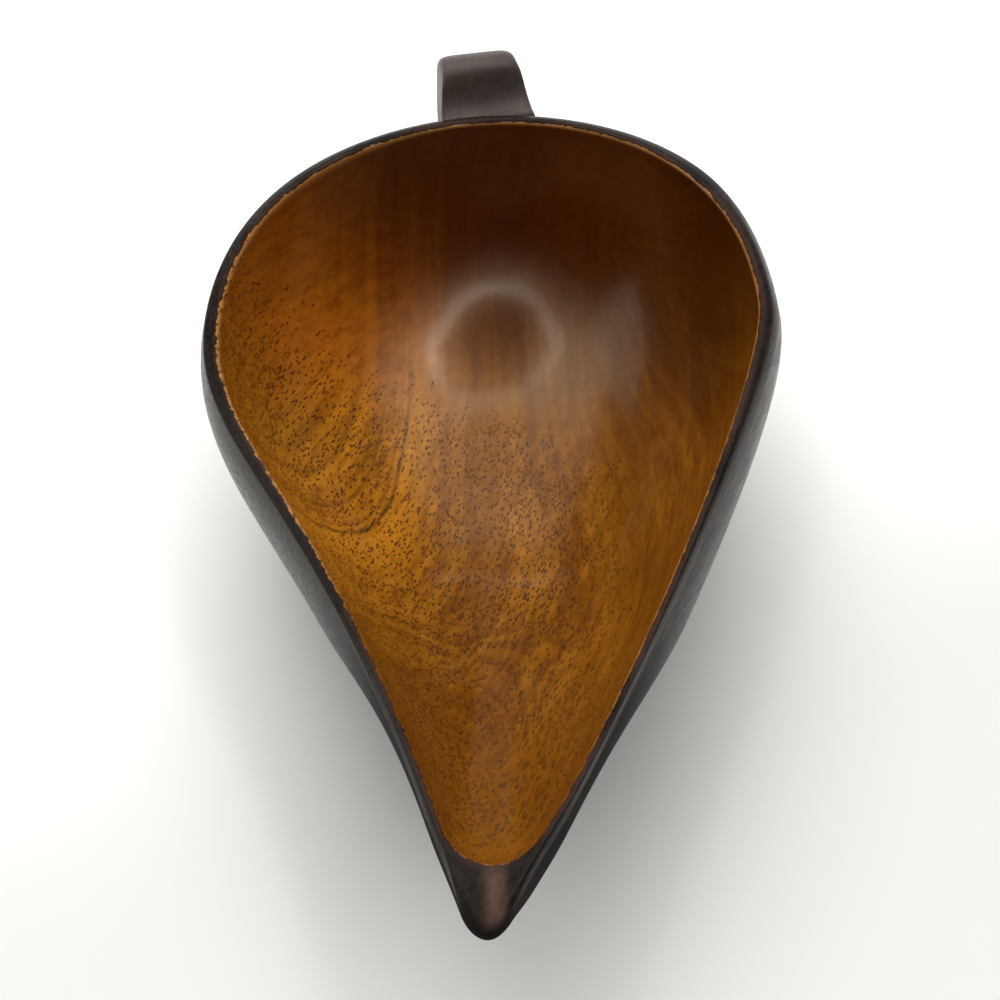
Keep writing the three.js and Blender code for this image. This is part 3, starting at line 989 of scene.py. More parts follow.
def join(name: str, meshes: list[bpy.types.Mesh], material: bpy.types.Material) -> bpy.types.Object:
    """Sews meshes into one smooth piece at the origin.

    Args:
        name: the piece's name.
        meshes: its parts, which share their border points.
        material: its finish.

    Returns:
        The piece.
    """
    sewn = bmesh.new()
    for mesh in meshes:
        sewn.from_mesh(mesh)
        bpy.data.meshes.remove(mesh)
    bmesh.ops.remove_doubles(sewn, verts=sewn.verts, dist=MERGE_DISTANCE)
    open_edges = [edge for edge in sewn.edges if edge.is_boundary]
    if open_edges:
        bmesh.ops.holes_fill(sewn, edges=open_edges, sides=0)
    bmesh.ops.recalc_face_normals(sewn, faces=sewn.faces)
    for face in sewn.faces:
        face.smooth = True
        face.material_index = 0
    mesh = bpy.data.meshes.new(name)
    sewn.to_mesh(mesh)
    sewn.free()
    mesh.materials.clear()
    mesh.materials.append(material)
    piece = bpy.data.objects.new(name, mesh)
    bpy.context.scene.collection.objects.link(piece)
    return piece


def grow(name: str, base: bpy.types.Mesh, tree: bpy.types.NodeTree, sizes: dict[str, Any]) -> bpy.types.Mesh:
    """Runs a geometry tree and keeps what it makes as a plain mesh.

    Args:
        name: the mesh's name.
        base: the outline that the tree works from.
        tree: the geometry tree.
        sizes: the tree's inputs by name.

    Returns:
        The mesh.
    """
    carrier = bpy.data.objects.new(name, base)
    bpy.context.scene.collection.objects.link(carrier)
    modifier = carrier.modifiers.new(name, "NODES")
    modifier.node_group = tree
    for item in tree.interface.items_tree:
        if item.in_out == "INPUT" and item.name in sizes:
            modifier[item.identifier] = sizes[item.name]
    graph = bpy.context.evaluated_depsgraph_get()
    made = bpy.data.meshes.new_from_object(carrier.evaluated_get(graph), depsgraph=graph)
    carrier.modifiers.clear()
    bpy.data.objects.remove(carrier)
    bpy.data.meshes.remove(base)
    return made


def line_mesh(name: str, points: np.ndarray, **layers: np.ndarray) -> bpy.types.Mesh:
    """Makes loose points that a geometry tree reads by their number.

    Args:
        name: the mesh's name.
        points: the points, in metres.
        layers: numbers or vectors that go with the points.

    Returns:
        The mesh.
    """
    mesh = bpy.data.meshes.new(name)
    mesh.from_pydata(points.tolist(), [], [])
    for layer_name, values in layers.items():
        kind, key = ("FLOAT", "value") if values.ndim == 1 else ("FLOAT_VECTOR", "vector")
        layer = mesh.attributes.new(layer_name, kind, "POINT")
        layer.data.foreach_set(key, values.astype(np.float32).ravel())
    return mesh


class LoftTree:
    """A geometry tree that sets a grid's points by a rule, and what both kinds share."""

    def __init__(self, name: str, numbers: tuple[str, ...], counts: tuple[str, ...]) -> None:
        """Starts the tree.

        Args:
            name: the tree's name.
            numbers: its sizes.
            counts: its whole numbers.
        """
        self.tree = bpy.data.node_groups.new(name, "GeometryNodeTree")
        face = self.tree.interface
        face.new_socket("Outline", in_out="INPUT", socket_type="NodeSocketGeometry")
        for count in counts:
            face.new_socket(count, in_out="INPUT", socket_type="NodeSocketInt")
        for number in numbers:
            face.new_socket(number, in_out="INPUT", socket_type="NodeSocketFloat")
        face.new_socket("Faces Outwards", in_out="INPUT", socket_type="NodeSocketBool")
        face.new_socket("Finish", in_out="INPUT", socket_type="NodeSocketMaterial")
        face.new_socket("Wall", in_out="OUTPUT", socket_type="NodeSocketGeometry")
        self.bench = NodeBench(self.tree)
        self.given = self.tree.nodes.new("NodeGroupInput").outputs
        self.here = self.bench.lay("GeometryNodeInputPosition").outputs[0]

    def grid(self, columns: Any, rows: Any) -> tuple[Any, Any, Any]:
        """Lays a grid of one unit per step.

        Args:
            columns: steps across.
            rows: steps down.

        Returns:
            The grid, and each point's column and row.
        """
        bench = self.bench
        feeds = {
            "Size X": columns,
            "Size Y": rows,
            "Vertices X": bench.math("ADD", columns, 1.0),
            "Vertices Y": bench.math("ADD", rows, 1.0),
        }
        mesh = bench.lay("GeometryNodeMeshGrid", feeds).outputs["Mesh"]
        parts = bench.split(self.here)
        column = bench.math("ROUND", bench.math("MULTIPLY_ADD", columns, 0.5, parts["X"]))
        row = bench.math("ROUND", bench.math("MULTIPLY_ADD", rows, 0.5, parts["Y"]))
        return mesh, column, row

    def read(self, index: Any, layer: str | None = None, kind: str = "FLOAT_VECTOR") -> Any:
        """Reads the outline at a point number.

        Args:
            index: the point's number.
            layer: the named layer, or None for the place.
            kind: the layer's data type.

        Returns:
            The value there.
        """
        value = self.here
        if layer is not None:
            named = self.bench.lay("GeometryNodeInputNamedAttribute", {"Name": layer}, data_type=kind)
            value = named.outputs["Attribute"]
        node = self.bench.lay("GeometryNodeSampleIndex", data_type=kind)
        self.bench.wire(node, {"Geometry": self.given["Outline"], "Value": value, "Index": index})
        return node.outputs["Value"]

    def ease(self, mesh: Any) -> Any:
        """Leaves the mesh as it is, where the rule needs no easing."""
        return mesh

    def end(self, mesh: Any, place: Any) -> bpy.types.NodeTree:
        """Moves the grid, closes its seams and ends the tree.

        Args:
            mesh: the grid.
            place: where each of its points goes.

        Returns:
            The tree.
        """
        bench = self.bench
        moved = bench.lay("GeometryNodeSetPosition", {"Geometry": mesh, "Position": place}).outputs[0]
        feeds = {"Geometry": moved, "Distance": MERGE_DISTANCE}
        merged = bench.lay("GeometryNodeMergeByDistance", feeds).outputs[0]
        feeds = {"Mesh": self.ease(merged), "Selection": self.given["Faces Outwards"]}
        turned = bench.lay("GeometryNodeFlipFaces", feeds).outputs[0]
        smooth = bench.lay("GeometryNodeSetShadeSmooth", {"Geometry": turned}).outputs[0]
        real = bench.lay("GeometryNodeRealizeInstances", {"Geometry": smooth}).outputs[0]
        feeds = {"Geometry": real, "Material": self.given["Finish"]}
        done = bench.lay("GeometryNodeSetMaterial", feeds).outputs[0]
        bench.feed(self.tree.nodes.new("NodeGroupOutput").inputs["Wall"], done)
        return self.tree


@dataclass(frozen=True)
class WallRule:
    """How the wall falls from a rim edge to an oval: a superellipse, fuller away from the nose."""

    top: float
    bottom: float
    half_width: float
    half_length: float
    side_fullness: float
    nose_fullness: float
    end_angle: float
    levels: int
    lip_rows: int = 0
    floor_rows: int = 0
    keel_spread: float = 30.0
    bulge: float = 0.0
    bulge_drop: float = 13.0
    ease_steps: int = 0
    ease_drop: Span = (3.0, 14.0)

    def start_angle(self, edge: np.ndarray) -> np.ndarray:
        """Gives how far the wall leans outwards where it leaves the rim.

        Args:
            edge: the rim edge.

        Returns:
            The angle from upright at each point.
        """
        turned = np.abs(np.arctan2(edge[:, 0], -edge[:, 1]))
        away = eased(turned, 0.0, math.radians(self.keel_spread))
        at = self.bulge_drop / (self.top - self.bottom)
        steepest = (1.0 - at) ** (1.0 - 1.0 / at) / self.bulge_drop
        return np.arctan(self.bulge * away * steepest)

    def inputs(self, columns: int, facing: Facing, material: bpy.types.Material) -> dict[str, Any]:
        """Names the sizes as the tree does.

        Args:
            columns: points of the rim edge.
            facing: which way the wall looks.
            material: its finish.

        Returns:
            The tree's inputs.
        """
        return {
            "Columns": columns,
            "Levels": self.levels,
            "Lip Rows": self.lip_rows,
            "Floor Rows": self.floor_rows,
            "Ease Steps": self.ease_steps,
            "Ease Top": (self.top - self.ease_drop[0]) * MM,
            "Ease Full": (self.top - self.ease_drop[1]) * MM,
            "Bottom": self.bottom * MM,
            "Half Width": self.half_width * MM,
            "Half Length": self.half_length * MM,
            "Side Fullness": self.side_fullness,
            "Nose Fullness": self.nose_fullness,
            "End Angle": math.radians(self.end_angle),
            "Keel Spread": math.radians(self.keel_spread),
            "Bulge": self.bulge * MM,
            "Bulge Share": self.bulge_drop / (self.top - self.bottom),
            "Lip Side": float(facing.value),
            "Faces Outwards": facing is Facing.OUTWARDS,
            "Finish": material,
        }


class WallTree(LoftTree):
    """The tree that hangs a wall from a rim edge by the rule of WallRule."""

    def __init__(self) -> None:
        """Builds the tree."""
        counts = ("Columns", "Levels", "Lip Rows", "Floor Rows", "Ease Steps")
        numbers = (
            "Bottom", "Ease Top", "Ease Full", "Half Width", "Half Length", "Side Fullness", "Nose Fullness",
            "End Angle", "Keel Spread", "Bulge", "Bulge Share", "Lip Side",
        )
        super().__init__("wall_loft", numbers, counts)
        bench, given = self.bench, self.given
        rows = bench.math("ADD", given["Levels"], bench.math("ADD", given["Lip Rows"], given["Floor Rows"]))
        mesh, column, row = self.grid(given["Columns"], rows)
        number = bench.math("MODULO", column, given["Columns"])
        edge = self.read(number)
        roll, turn, rest, top = (self.read(number, name, "FLOAT") for name in ("roll", "turn", "rest", "top"))
        away_from_edge = self.square_out(number)
        away = self.away(edge)
        fullness = bench.between(away, given["Nose Fullness"], given["Side Fullness"])
        power = bench.math("DIVIDE", 2.0, fullness)
        level = bench.math("DIVIDE", bench.math("SUBTRACT", row, given["Lip Rows"]), given["Levels"])
        level = bench.math("MINIMUM", bench.math("MAXIMUM", level, 0.0), 1.0)
        inward, down = self.curve(level, power)
        foot = self.oval(edge)
        swell = bench.times(self.swell(down), bench.times(away, given["Bulge"]))
        place = bench.blend(inward, edge, foot)
        place = bench.vector("ADD", place, bench.vector("SCALE", away_from_edge, swell))
        lip_out, lip_up = self.lip(row, roll, turn, rest)
        place = bench.vector("ADD", place, bench.vector("SCALE", away_from_edge, lip_out))
        place = bench.vector("SCALE", place, self.floor_share(row))
        fall = bench.math("SUBTRACT", bench.math("SINE", turn), bench.math("SINE", rest))
        wall_top = bench.math("SUBTRACT", top, bench.times(roll, fall))
        height = bench.math("ADD", bench.between(down, wall_top, given["Bottom"]), lip_up)
        flat = bench.split(place)
        self.end(mesh, bench.pack(X=flat["X"], Y=flat["Y"], Z=height))

    def ease(self, mesh: Any) -> Any:
        """Eases the bends of the wall below its rim.

        Args:
            mesh: the wall.

        Returns:
            The eased wall.
        """
        bench, given = self.bench, self.given
        height = bench.split(self.here)["Z"]
        share = bench.smooth(height, given["Ease Top"], given["Ease Full"])
        blur = bench.lay("GeometryNodeBlurAttribute", data_type="FLOAT_VECTOR")
        bench.wire(blur, {"Value": self.here, "Iterations": given["Ease Steps"], "Weight": share})
        feeds = {"Geometry": mesh, "Position": blur.outputs[0]}
        return bench.lay("GeometryNodeSetPosition", feeds).outputs[0]

    def square_out(self, number: Any) -> Any:
        """Adds the direction square to the rim edge, away from the hollow.

        Args:
            number: the point's number.

        Returns:
            The direction.
        """
        bench, columns = self.bench, self.given["Columns"]
        after = bench.math("MODULO", bench.math("ADD", number, 1.0), columns)
        before = bench.math("ADD", bench.math("SUBTRACT", number, 1.0), columns)
        before = bench.math("MODULO", before, columns)
        along = bench.vector("SUBTRACT", self.read(after), self.read(before))
        parts = bench.split(bench.vector("NORMALIZE", along))
        return bench.pack(X=parts["Y"], Y=bench.times(parts["X"], -1.0))

    def away(self, edge: Any) -> Any:
        """Adds how far a direction is from the nose's.

        Args:
            edge: the rim point.

        Returns:
            Zero at the nose and one at the flanks and back.
        """
        bench = self.bench
        parts = bench.split(edge)
        behind = bench.times(parts["Y"], -1.0)
        turned = bench.math("ABSOLUTE", bench.math("ARCTAN2", parts["X"], behind))
        return bench.smooth(turned, 0.0, self.given["Keel Spread"])

    def curve(self, level: Any, power: Any) -> tuple[Any, Any]:
        """Adds the superellipse.

        Args:
            level: 0 at the rim and 1 at the oval.
            power: its exponent.

        Returns:
            The shares of the way in and of the way down.
        """
        bench, end = self.bench, self.given["End Angle"]
        angle = bench.times(level, end)

        def lifted(trade: str, at: Any) -> Any:
            """Raises a sine or cosine to the power."""
            return bench.math("POWER", bench.math("MAXIMUM", bench.math(trade, at), 0.0), power)

        inward = bench.math(
            "DIVIDE",
            bench.math("SUBTRACT", 1.0, lifted("COSINE", angle)),
            bench.math("SUBTRACT", 1.0, lifted("COSINE", end)),
        )
        return inward, bench.math("DIVIDE", lifted("SINE", angle), lifted("SINE", end))

    def oval(self, edge: Any) -> Any:
        """Adds the oval's point in a rim point's direction.

        Args:
            edge: the rim point.

        Returns:
            The oval's point.
        """
        bench = self.bench
        parts = bench.split(edge)
        wide = bench.math("DIVIDE", parts["X"], self.given["Half Width"])
        long = bench.math("DIVIDE", parts["Y"], self.given["Half Length"])
        squares = bench.math("MULTIPLY_ADD", wide, wide, bench.times(long, long))
        return bench.vector("SCALE", edge, bench.math("INVERSE_SQRT", squares))

    def swell(self, down: Any) -> Any:
        """Adds the bulge below the rim.

        Args:
            down: the share of the way down.

        Returns:
            One where the wall swells most, and nothing at the rim and the oval.
        """
        bench, at = self.bench, self.given["Bulge Share"]
        rest = bench.math("SUBTRACT", 1.0, at)
        left = bench.math("MAXIMUM", bench.math("SUBTRACT", 1.0, down), 0.0)
        fall = bench.math("POWER", bench.math("DIVIDE", left, rest), bench.math("DIVIDE", rest, at))
        return bench.times(bench.math("DIVIDE", down, at), fall)

    def lip(self, row: Any, roll: Any, turn: Any, rest: Any) -> tuple[Any, Any]:
        """Adds the rounding between the wall and the rim's top.

        Args:
            row: the point's row.
            roll: the rounding's radius.
            turn: the angle that it turns from.
            rest: the angle that it ends at, which is the wall's.

        Returns:
            How far it stands away from the wall, and how far above its end.
        """
        bench, given = self.bench, self.given
        share = bench.math("DIVIDE", row, bench.math("MAXIMUM", given["Lip Rows"], 1.0))
        share = bench.math("MINIMUM", share, 1.0)
        angle = bench.between(share, turn, rest)
        reach = bench.math("SUBTRACT", bench.math("COSINE", rest), bench.math("COSINE", angle))
        out = bench.times(bench.times(reach, roll), given["Lip Side"])
        rise = bench.math("SUBTRACT", bench.math("SINE", angle), bench.math("SINE", rest))
        return out, bench.times(rise, roll)

    def floor_share(self, row: Any) -> Any:
        """Adds how far a floor row has closed in on the middle.

        Args:
            row: the point's row.

        Returns:
            One on the wall, and nothing in the floor's middle.
        """
        bench, given = self.bench, self.given
        past = bench.math("SUBTRACT", row, bench.math("ADD", given["Lip Rows"], given["Levels"]))
        share = bench.math("DIVIDE", past, bench.math("MAXIMUM", given["Floor Rows"], 1.0))
        share = bench.math("MINIMUM", bench.math("MAXIMUM", share, 0.0), 1.0)
        return bench.math("SUBTRACT", 1.0, share)


# Sub-assemblies


@dataclass
class CarvedBowl:
    """The golden bowl with its rounded inner lip and its bare foot."""

    plan: RimPlan
    rim_height: float = 52.0
    floor_thickness: float = 7.0
    floor_half_width: float = 13.0
    floor_half_length: float = 20.0
    lip_radius: float = 1.1
    under_coat: float = 0.8
    foot_half_width: float = 22.0
    foot_half_length: float = 27.0
    foot_proud: float = 0.6
    foot_margin: float = 1.0
    foot_edge: float = 0.3
    foot_sole: float = 4.0
    rim_gap: float = 0.02
    hollow_fullness: Span = (2.0, 1.3)
    hollow_end_angle: float = 88.0
    outside_fullness: Span = (2.4, 1.35)
    outside_end_angle: float = 76.0
    outside_bulge: float = 1.9
    hollow_levels: int = 58
    outside_levels: int = 10
    lip_rows: int = 6
    floor_rows: int = 12
    ease_steps: int = 60

    def hollow_rule(self) -> WallRule:
        """Gives the rule of the hollow.

        Returns:
            The rule.
        """
        return WallRule(
            top=self.rim_height,
            bottom=self.floor_thickness,
            half_width=self.floor_half_width,
            half_length=self.floor_half_length,
            side_fullness=self.hollow_fullness[0],
            nose_fullness=self.hollow_fullness[1],
            end_angle=self.hollow_end_angle,
            levels=self.hollow_levels,
            lip_rows=self.lip_rows,
            floor_rows=self.floor_rows,
            ease_steps=self.ease_steps,
        )

    def outside_rule(self, depth: float, levels: int, lip_rows: int = 0) -> WallRule:
        """Gives the rule of the outside, drawn in by a depth.

        Args:
            depth: how far inside the scoop's outer face.
            levels: rows of the wall.
            lip_rows: rows of the rim's outer rounding.

        Returns:
            The rule.
        """
        return WallRule(
            top=self.rim_height - depth,
            bottom=self.foot_proud + depth,
            half_width=self.foot_half_width - depth,
            half_length=self.foot_half_length - depth,
            side_fullness=self.outside_fullness[0],
            nose_fullness=self.outside_fullness[1],
            end_angle=self.outside_end_angle,
            levels=levels,
            lip_rows=lip_rows,
            bulge=self.outside_bulge,
        )

    def wall(
        self,
        tree: bpy.types.NodeTree,
        edge: np.ndarray,
        rounding: Rounding,
        rule: WallRule,
        facing: Facing,
        material: bpy.types.Material,
    ) -> bpy.types.Mesh:
        """Hangs one wall from a rim edge.

        Args:
            tree: the wall's geometry tree.
            edge: the rim edge, in millimetres.
            rounding: the rounding at its top.
            rule: the wall's rule.
            facing: which way it looks.
            material: its finish.

        Returns:
            The wall's mesh.
        """
        base = line_mesh(
            "rim_edge",
            ring_at(edge, 0.0) * MM,
            roll=rounding.roll * MM,
            turn=rounding.turn,
            rest=rounding.rest,
            top=rounding.top * MM,
        )
        return grow("wall", base, tree, rule.inputs(len(edge), facing, material))

    def foot_oval(self, edge: np.ndarray, depth: float) -> np.ndarray:
        """Walks the foot's oval in the directions of the rim's points.

        Args:
            edge: the rim edge.
            depth: how far inside the foot's outline.

        Returns:
            The oval's points.
        """
        wide = self.foot_half_width - depth
        long = self.foot_half_length - depth
        scale = 1.0 / np.hypot(edge[:, 0] / wide, edge[:, 1] / long)
        return edge * scale[:, None]

    def build(
        self, tree: bpy.types.NodeTree, material: bpy.types.Material, coat: Rounding,
    ) -> bpy.types.Object:
        """Makes the bowl.

        Args:
            tree: the wall's geometry tree.
            material: its finish.
            coat: the rounding of the coat over the rim.

        Returns:
            The piece.
        """
        inner, outer = self.plan.both()
        under = outer - outward(outer) * self.under_coat
        shelf = coat.lowered(self.under_coat)
        lip = Rounding.even(len(inner), self.lip_radius, self.rim_height)
        hollow = self.wall(tree, inner, lip, self.hollow_rule(), Facing.INTO_HOLLOW, material)
        rule = self.outside_rule(self.under_coat, self.outside_levels, self.lip_rows // 2)
        outside = self.wall(tree, under, shelf, rule, Facing.OUTWARDS, material)
        lip_top = inner + outward(inner) * self.lip_radius
        rim = strip_mesh("bowl_rim", [
            ring_at(lip_top, self.rim_height),
            ring_at(lip_top + self.rim_gap * outward(inner), shelf.top),
            ring_at(under - outward(under) * shelf.reach[:, None], shelf.top),
        ])
        step = self.foot_proud + self.under_coat
        margin = self.foot_margin
        foot = strip_mesh("bowl_foot", [
            ring_at(self.foot_oval(under, self.under_coat), step),
            ring_at(self.foot_oval(under, margin), step),
            ring_at(self.foot_oval(under, margin), self.foot_edge),
            ring_at(self.foot_oval(under, margin + self.foot_edge), 0.0),
            ring_at(self.foot_oval(under, margin + self.foot_sole), 0.0),
        ])
        piece = join("carved_bowl", [hollow, outside, rim, foot], material)
        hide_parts("bowl_core")
        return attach(piece, BODY)


@dataclass(frozen=True)
class RimSection:
    """The rim's section on one side: how far it falls, how late, and its edge's radius."""

    drop: float
    power: float
    roll: float


@dataclass
class LacquerSkin:
    """The dark lacquer over the rim and the outside, with its ragged inner edge."""

    bowl: CarvedBowl
    thickness: float = 0.5
    edge_thickness: float = 0.12
    left: RimSection = RimSection(drop=1.0, power=1.15, roll=0.9)
    right: RimSection = RimSection(drop=2.8, power=2.2, roll=2.5)
    back: RimSection = RimSection(drop=0.7, power=1.6, roll=0.8)
    nose_left: RimSection = RimSection(drop=2.6, power=2.0, roll=1.0)
    nose_right: RimSection = RimSection(drop=5.5, power=2.0, roll=1.0)
    tip: RimSection = RimSection(drop=2.6, power=2.6, roll=1.5)
    least_turn: float = 0.05
    nose_reach: Span = (-60.0, -100.0)
    tip_reach: Span = (-102.0, -109.0)
    levels: int = 44
    lip_rows: int = 8
    top_rows: int = 14
    edge_rows: int = 4
    inside_levels: int = 10
    left_ragged: float = 0.11
    right_ragged: float = 0.07
    left_cover: float = 0.28
    right_cover: float = 0.5
    cover_limits: Span = (0.04, 0.85)
    tooth_shares: Span = (0.6, 0.5)
    tooth_width: int = 5
    calm_side: Span = (-20.0, 20.0)
    calm_back: Span = (10.0, 40.0)
    side_reach: Span = (-20.0, 20.0)
    nose_side_reach: Span = (-7.0, 3.0)
    back_reach: Span = (15.0, 45.0)
    edge_thinning: float = 0.6
    under_edge_gap: float = 0.05
    foot_gap: float = 0.3
    seed: int = 7

    def section(self, outer: np.ndarray) -> tuple[np.ndarray, np.ndarray, np.ndarray]:
        """Blends the rim's section: crisp on the left, broad on the right, bevelled beside the nose.

        Args:
            outer: the rim's outer edge.

        Returns:
            The drop, the power and the rounding's radius at each point.
        """
        across, along = outer[:, 0], outer[:, 1]
        right = eased(across, *self.side_reach)
        nose_right = eased(across, *self.nose_side_reach)
        back = eased(along, *self.back_reach)
        nose = eased(along, *self.nose_reach)
        tip = eased(along, *self.tip_reach)

        def blended(name: str) -> np.ndarray:
            """Blends one size between the sides of the rim.

            Args:
                name: the size's name in RimSection.

            Returns:
                The size at each point.
            """
            left_size, right_size = getattr(self.left, name), getattr(self.right, name)
            size = left_size + (right_size - left_size) * right
            size = size + (getattr(self.back, name) - size) * back
            left_size, right_size = getattr(self.nose_left, name), getattr(self.nose_right, name)
            size = size + (left_size + (right_size - left_size) * nose_right - size) * nose
            return size + (getattr(self.tip, name) - size) * tip

        return blended("drop"), blended("power"), blended("roll")

    def rounding(self) -> Rounding:
        """Sizes the outer rounding so that it takes up the slope of the rim's top.

        Returns:
            The rounding.
        """
        inner, outer = self.bowl.plan.both()
        drop, power, roll = self.section(outer)
        width = self.width(inner, outer)
        rest = self.bowl.outside_rule(0.0, self.levels).start_angle(outer)
        turn = np.full(len(outer), math.pi / 4)
        for _ in range(TURN_STEPS):
            share = 1.0 - roll * (np.cos(rest) - np.cos(turn)) / width
            turn = math.pi / 2 - np.arctan(drop * power * share ** (power - 1.0) / width)
            turn = np.maximum(turn, rest + self.least_turn)
        top = self.bowl.rim_height + self.edge_thickness - drop * share**power
        return Rounding(roll, turn, rest, top)

    def width(self, inner: np.ndarray, outer: np.ndarray) -> np.ndarray:
        """Gives the width of the rim's top square to its outer edge."""
        stop = inner + outward(inner) * self.bowl.lip_radius
        return np.sum((outer - stop) * outward(outer), axis=1)

    def cover(self, inner: np.ndarray) -> np.ndarray:
        """Draws the ragged line where the lacquer stops on the lip.

        Args:
            inner: the rim's inner edge.

        Returns:
            The share of the lip that is covered at each point.
        """
        draw = np.random.default_rng(self.seed)
        count = len(inner)
        fine = draw.normal(0.0, 1.0, count)
        window = np.ones(self.tooth_width) / math.sqrt(self.tooth_width)
        wide = np.convolve(np.tile(draw.normal(0.0, 1.0, count), 3), window, "same")[count:2 * count]
        right = np.interp(inner[:, 0], self.calm_side, (0.0, 1.0))
        back = np.interp(inner[:, 1], self.calm_back, (0.0, 1.0))
        calm = np.maximum(right, back)
        mean = self.left_cover + (self.right_cover - self.left_cover) * calm
        teeth = self.left_ragged + (self.right_ragged - self.left_ragged) * calm
        teeth = teeth * (self.tooth_shares[0] * fine + self.tooth_shares[1] * wide)
        return np.clip(mean + teeth, *self.cover_limits)

    def top_rings(self, inner: np.ndarray, outer: np.ndarray, rounding: Rounding) -> tuple[Rings, Rings]:
        """Draws the rim's top from the outer rounding in to the ragged edge.

        Args:
            inner: the rim's inner edge.
            outer: the rim's outer edge.
            rounding: the outer rounding.

        Returns:
            The rings, and how far each of their points is from the lacquer's edge.
        """
        height = self.bowl.rim_height
        lip = self.bowl.lip_radius
        inwards = outward(inner)
        start = outer - outward(outer) * rounding.reach[:, None]
        stop = inner + inwards * lip
        span = np.linalg.norm(start - stop, axis=1)
        high = height + self.edge_thickness
        power = self.section(outer)[1]
        rings, marks = [], []
        for row in range(self.top_rows + 1):
            share = 1.0 - row / self.top_rows
            level = high + (rounding.top - high) * share**power
            rings.append(ring_at(stop + (start - stop) * share, level))
            marks.append(span * share + lip)
        cover = self.cover(inner)
        for row in range(1, self.edge_rows + 1):
            share = cover * row / self.edge_rows
            turn = (1.0 - share) * math.pi / 2
            proud = self.edge_thickness * (1.0 - self.edge_thinning * row / self.edge_rows)
            radius = lip + proud
            plan = stop - inwards * (radius * np.cos(turn))[:, None]
            rings.append(ring_at(plan, height - lip + radius * np.sin(turn)))
            marks.append(lip * (cover - share))
        return rings, marks

    def build(
        self, tree: bpy.types.NodeTree, material: bpy.types.Material, rounding: Rounding,
    ) -> bpy.types.Object:
        """Makes the skin.

        Args:
            tree: the wall's geometry tree.
            material: its finish.
            rounding: the rounding of the rim.

        Returns:
            The piece.
        """
        bowl = self.bowl
        inner, outer = bowl.plan.both()
        rule = bowl.outside_rule(0.0, self.levels, self.lip_rows)
        outside = bowl.wall(tree, outer, rounding, rule, Facing.OUTWARDS, material)
        far = outside.attributes.new("from_edge", "FLOAT", "POINT")
        far.data.foreach_set("value", np.full(len(outside.vertices), FAR_FROM_EDGE, np.float32))
        behind = outer - outward(outer) * self.thickness
        rule = bowl.outside_rule(self.thickness, self.inside_levels, self.lip_rows // 2)
        lining = rounding.lowered(self.thickness)
        inside = bowl.wall(tree, behind, lining, rule, Facing.OUTWARDS, material)
        rings, marks = self.top_rings(inner, outer, rounding)
        under_edge = ring_at(inner + outward(inner) * (bowl.lip_radius + self.under_edge_gap), lining.top)
        rings += [under_edge, ring_at(behind - outward(behind) * lining.reach[:, None], lining.top)]
        marks += [np.full(len(outer), FAR_FROM_EDGE)] * 2
        top = strip_mesh("skin_top", rings, marks)
        margin = bowl.foot_margin - self.foot_gap
        foot = strip_mesh("skin_foot", [
            ring_at(bowl.foot_oval(outer, 0.0), bowl.foot_proud),
            ring_at(bowl.foot_oval(outer, margin), bowl.foot_proud),
            ring_at(bowl.foot_oval(outer, margin), bowl.foot_proud + self.thickness),
            ring_at(bowl.foot_oval(behind, self.thickness), bowl.foot_proud + self.thickness),
        ])
        piece = join("lacquer_skin", [outside, inside, top, foot], material)
        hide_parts("lacquer_coat")
        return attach(piece, BODY)


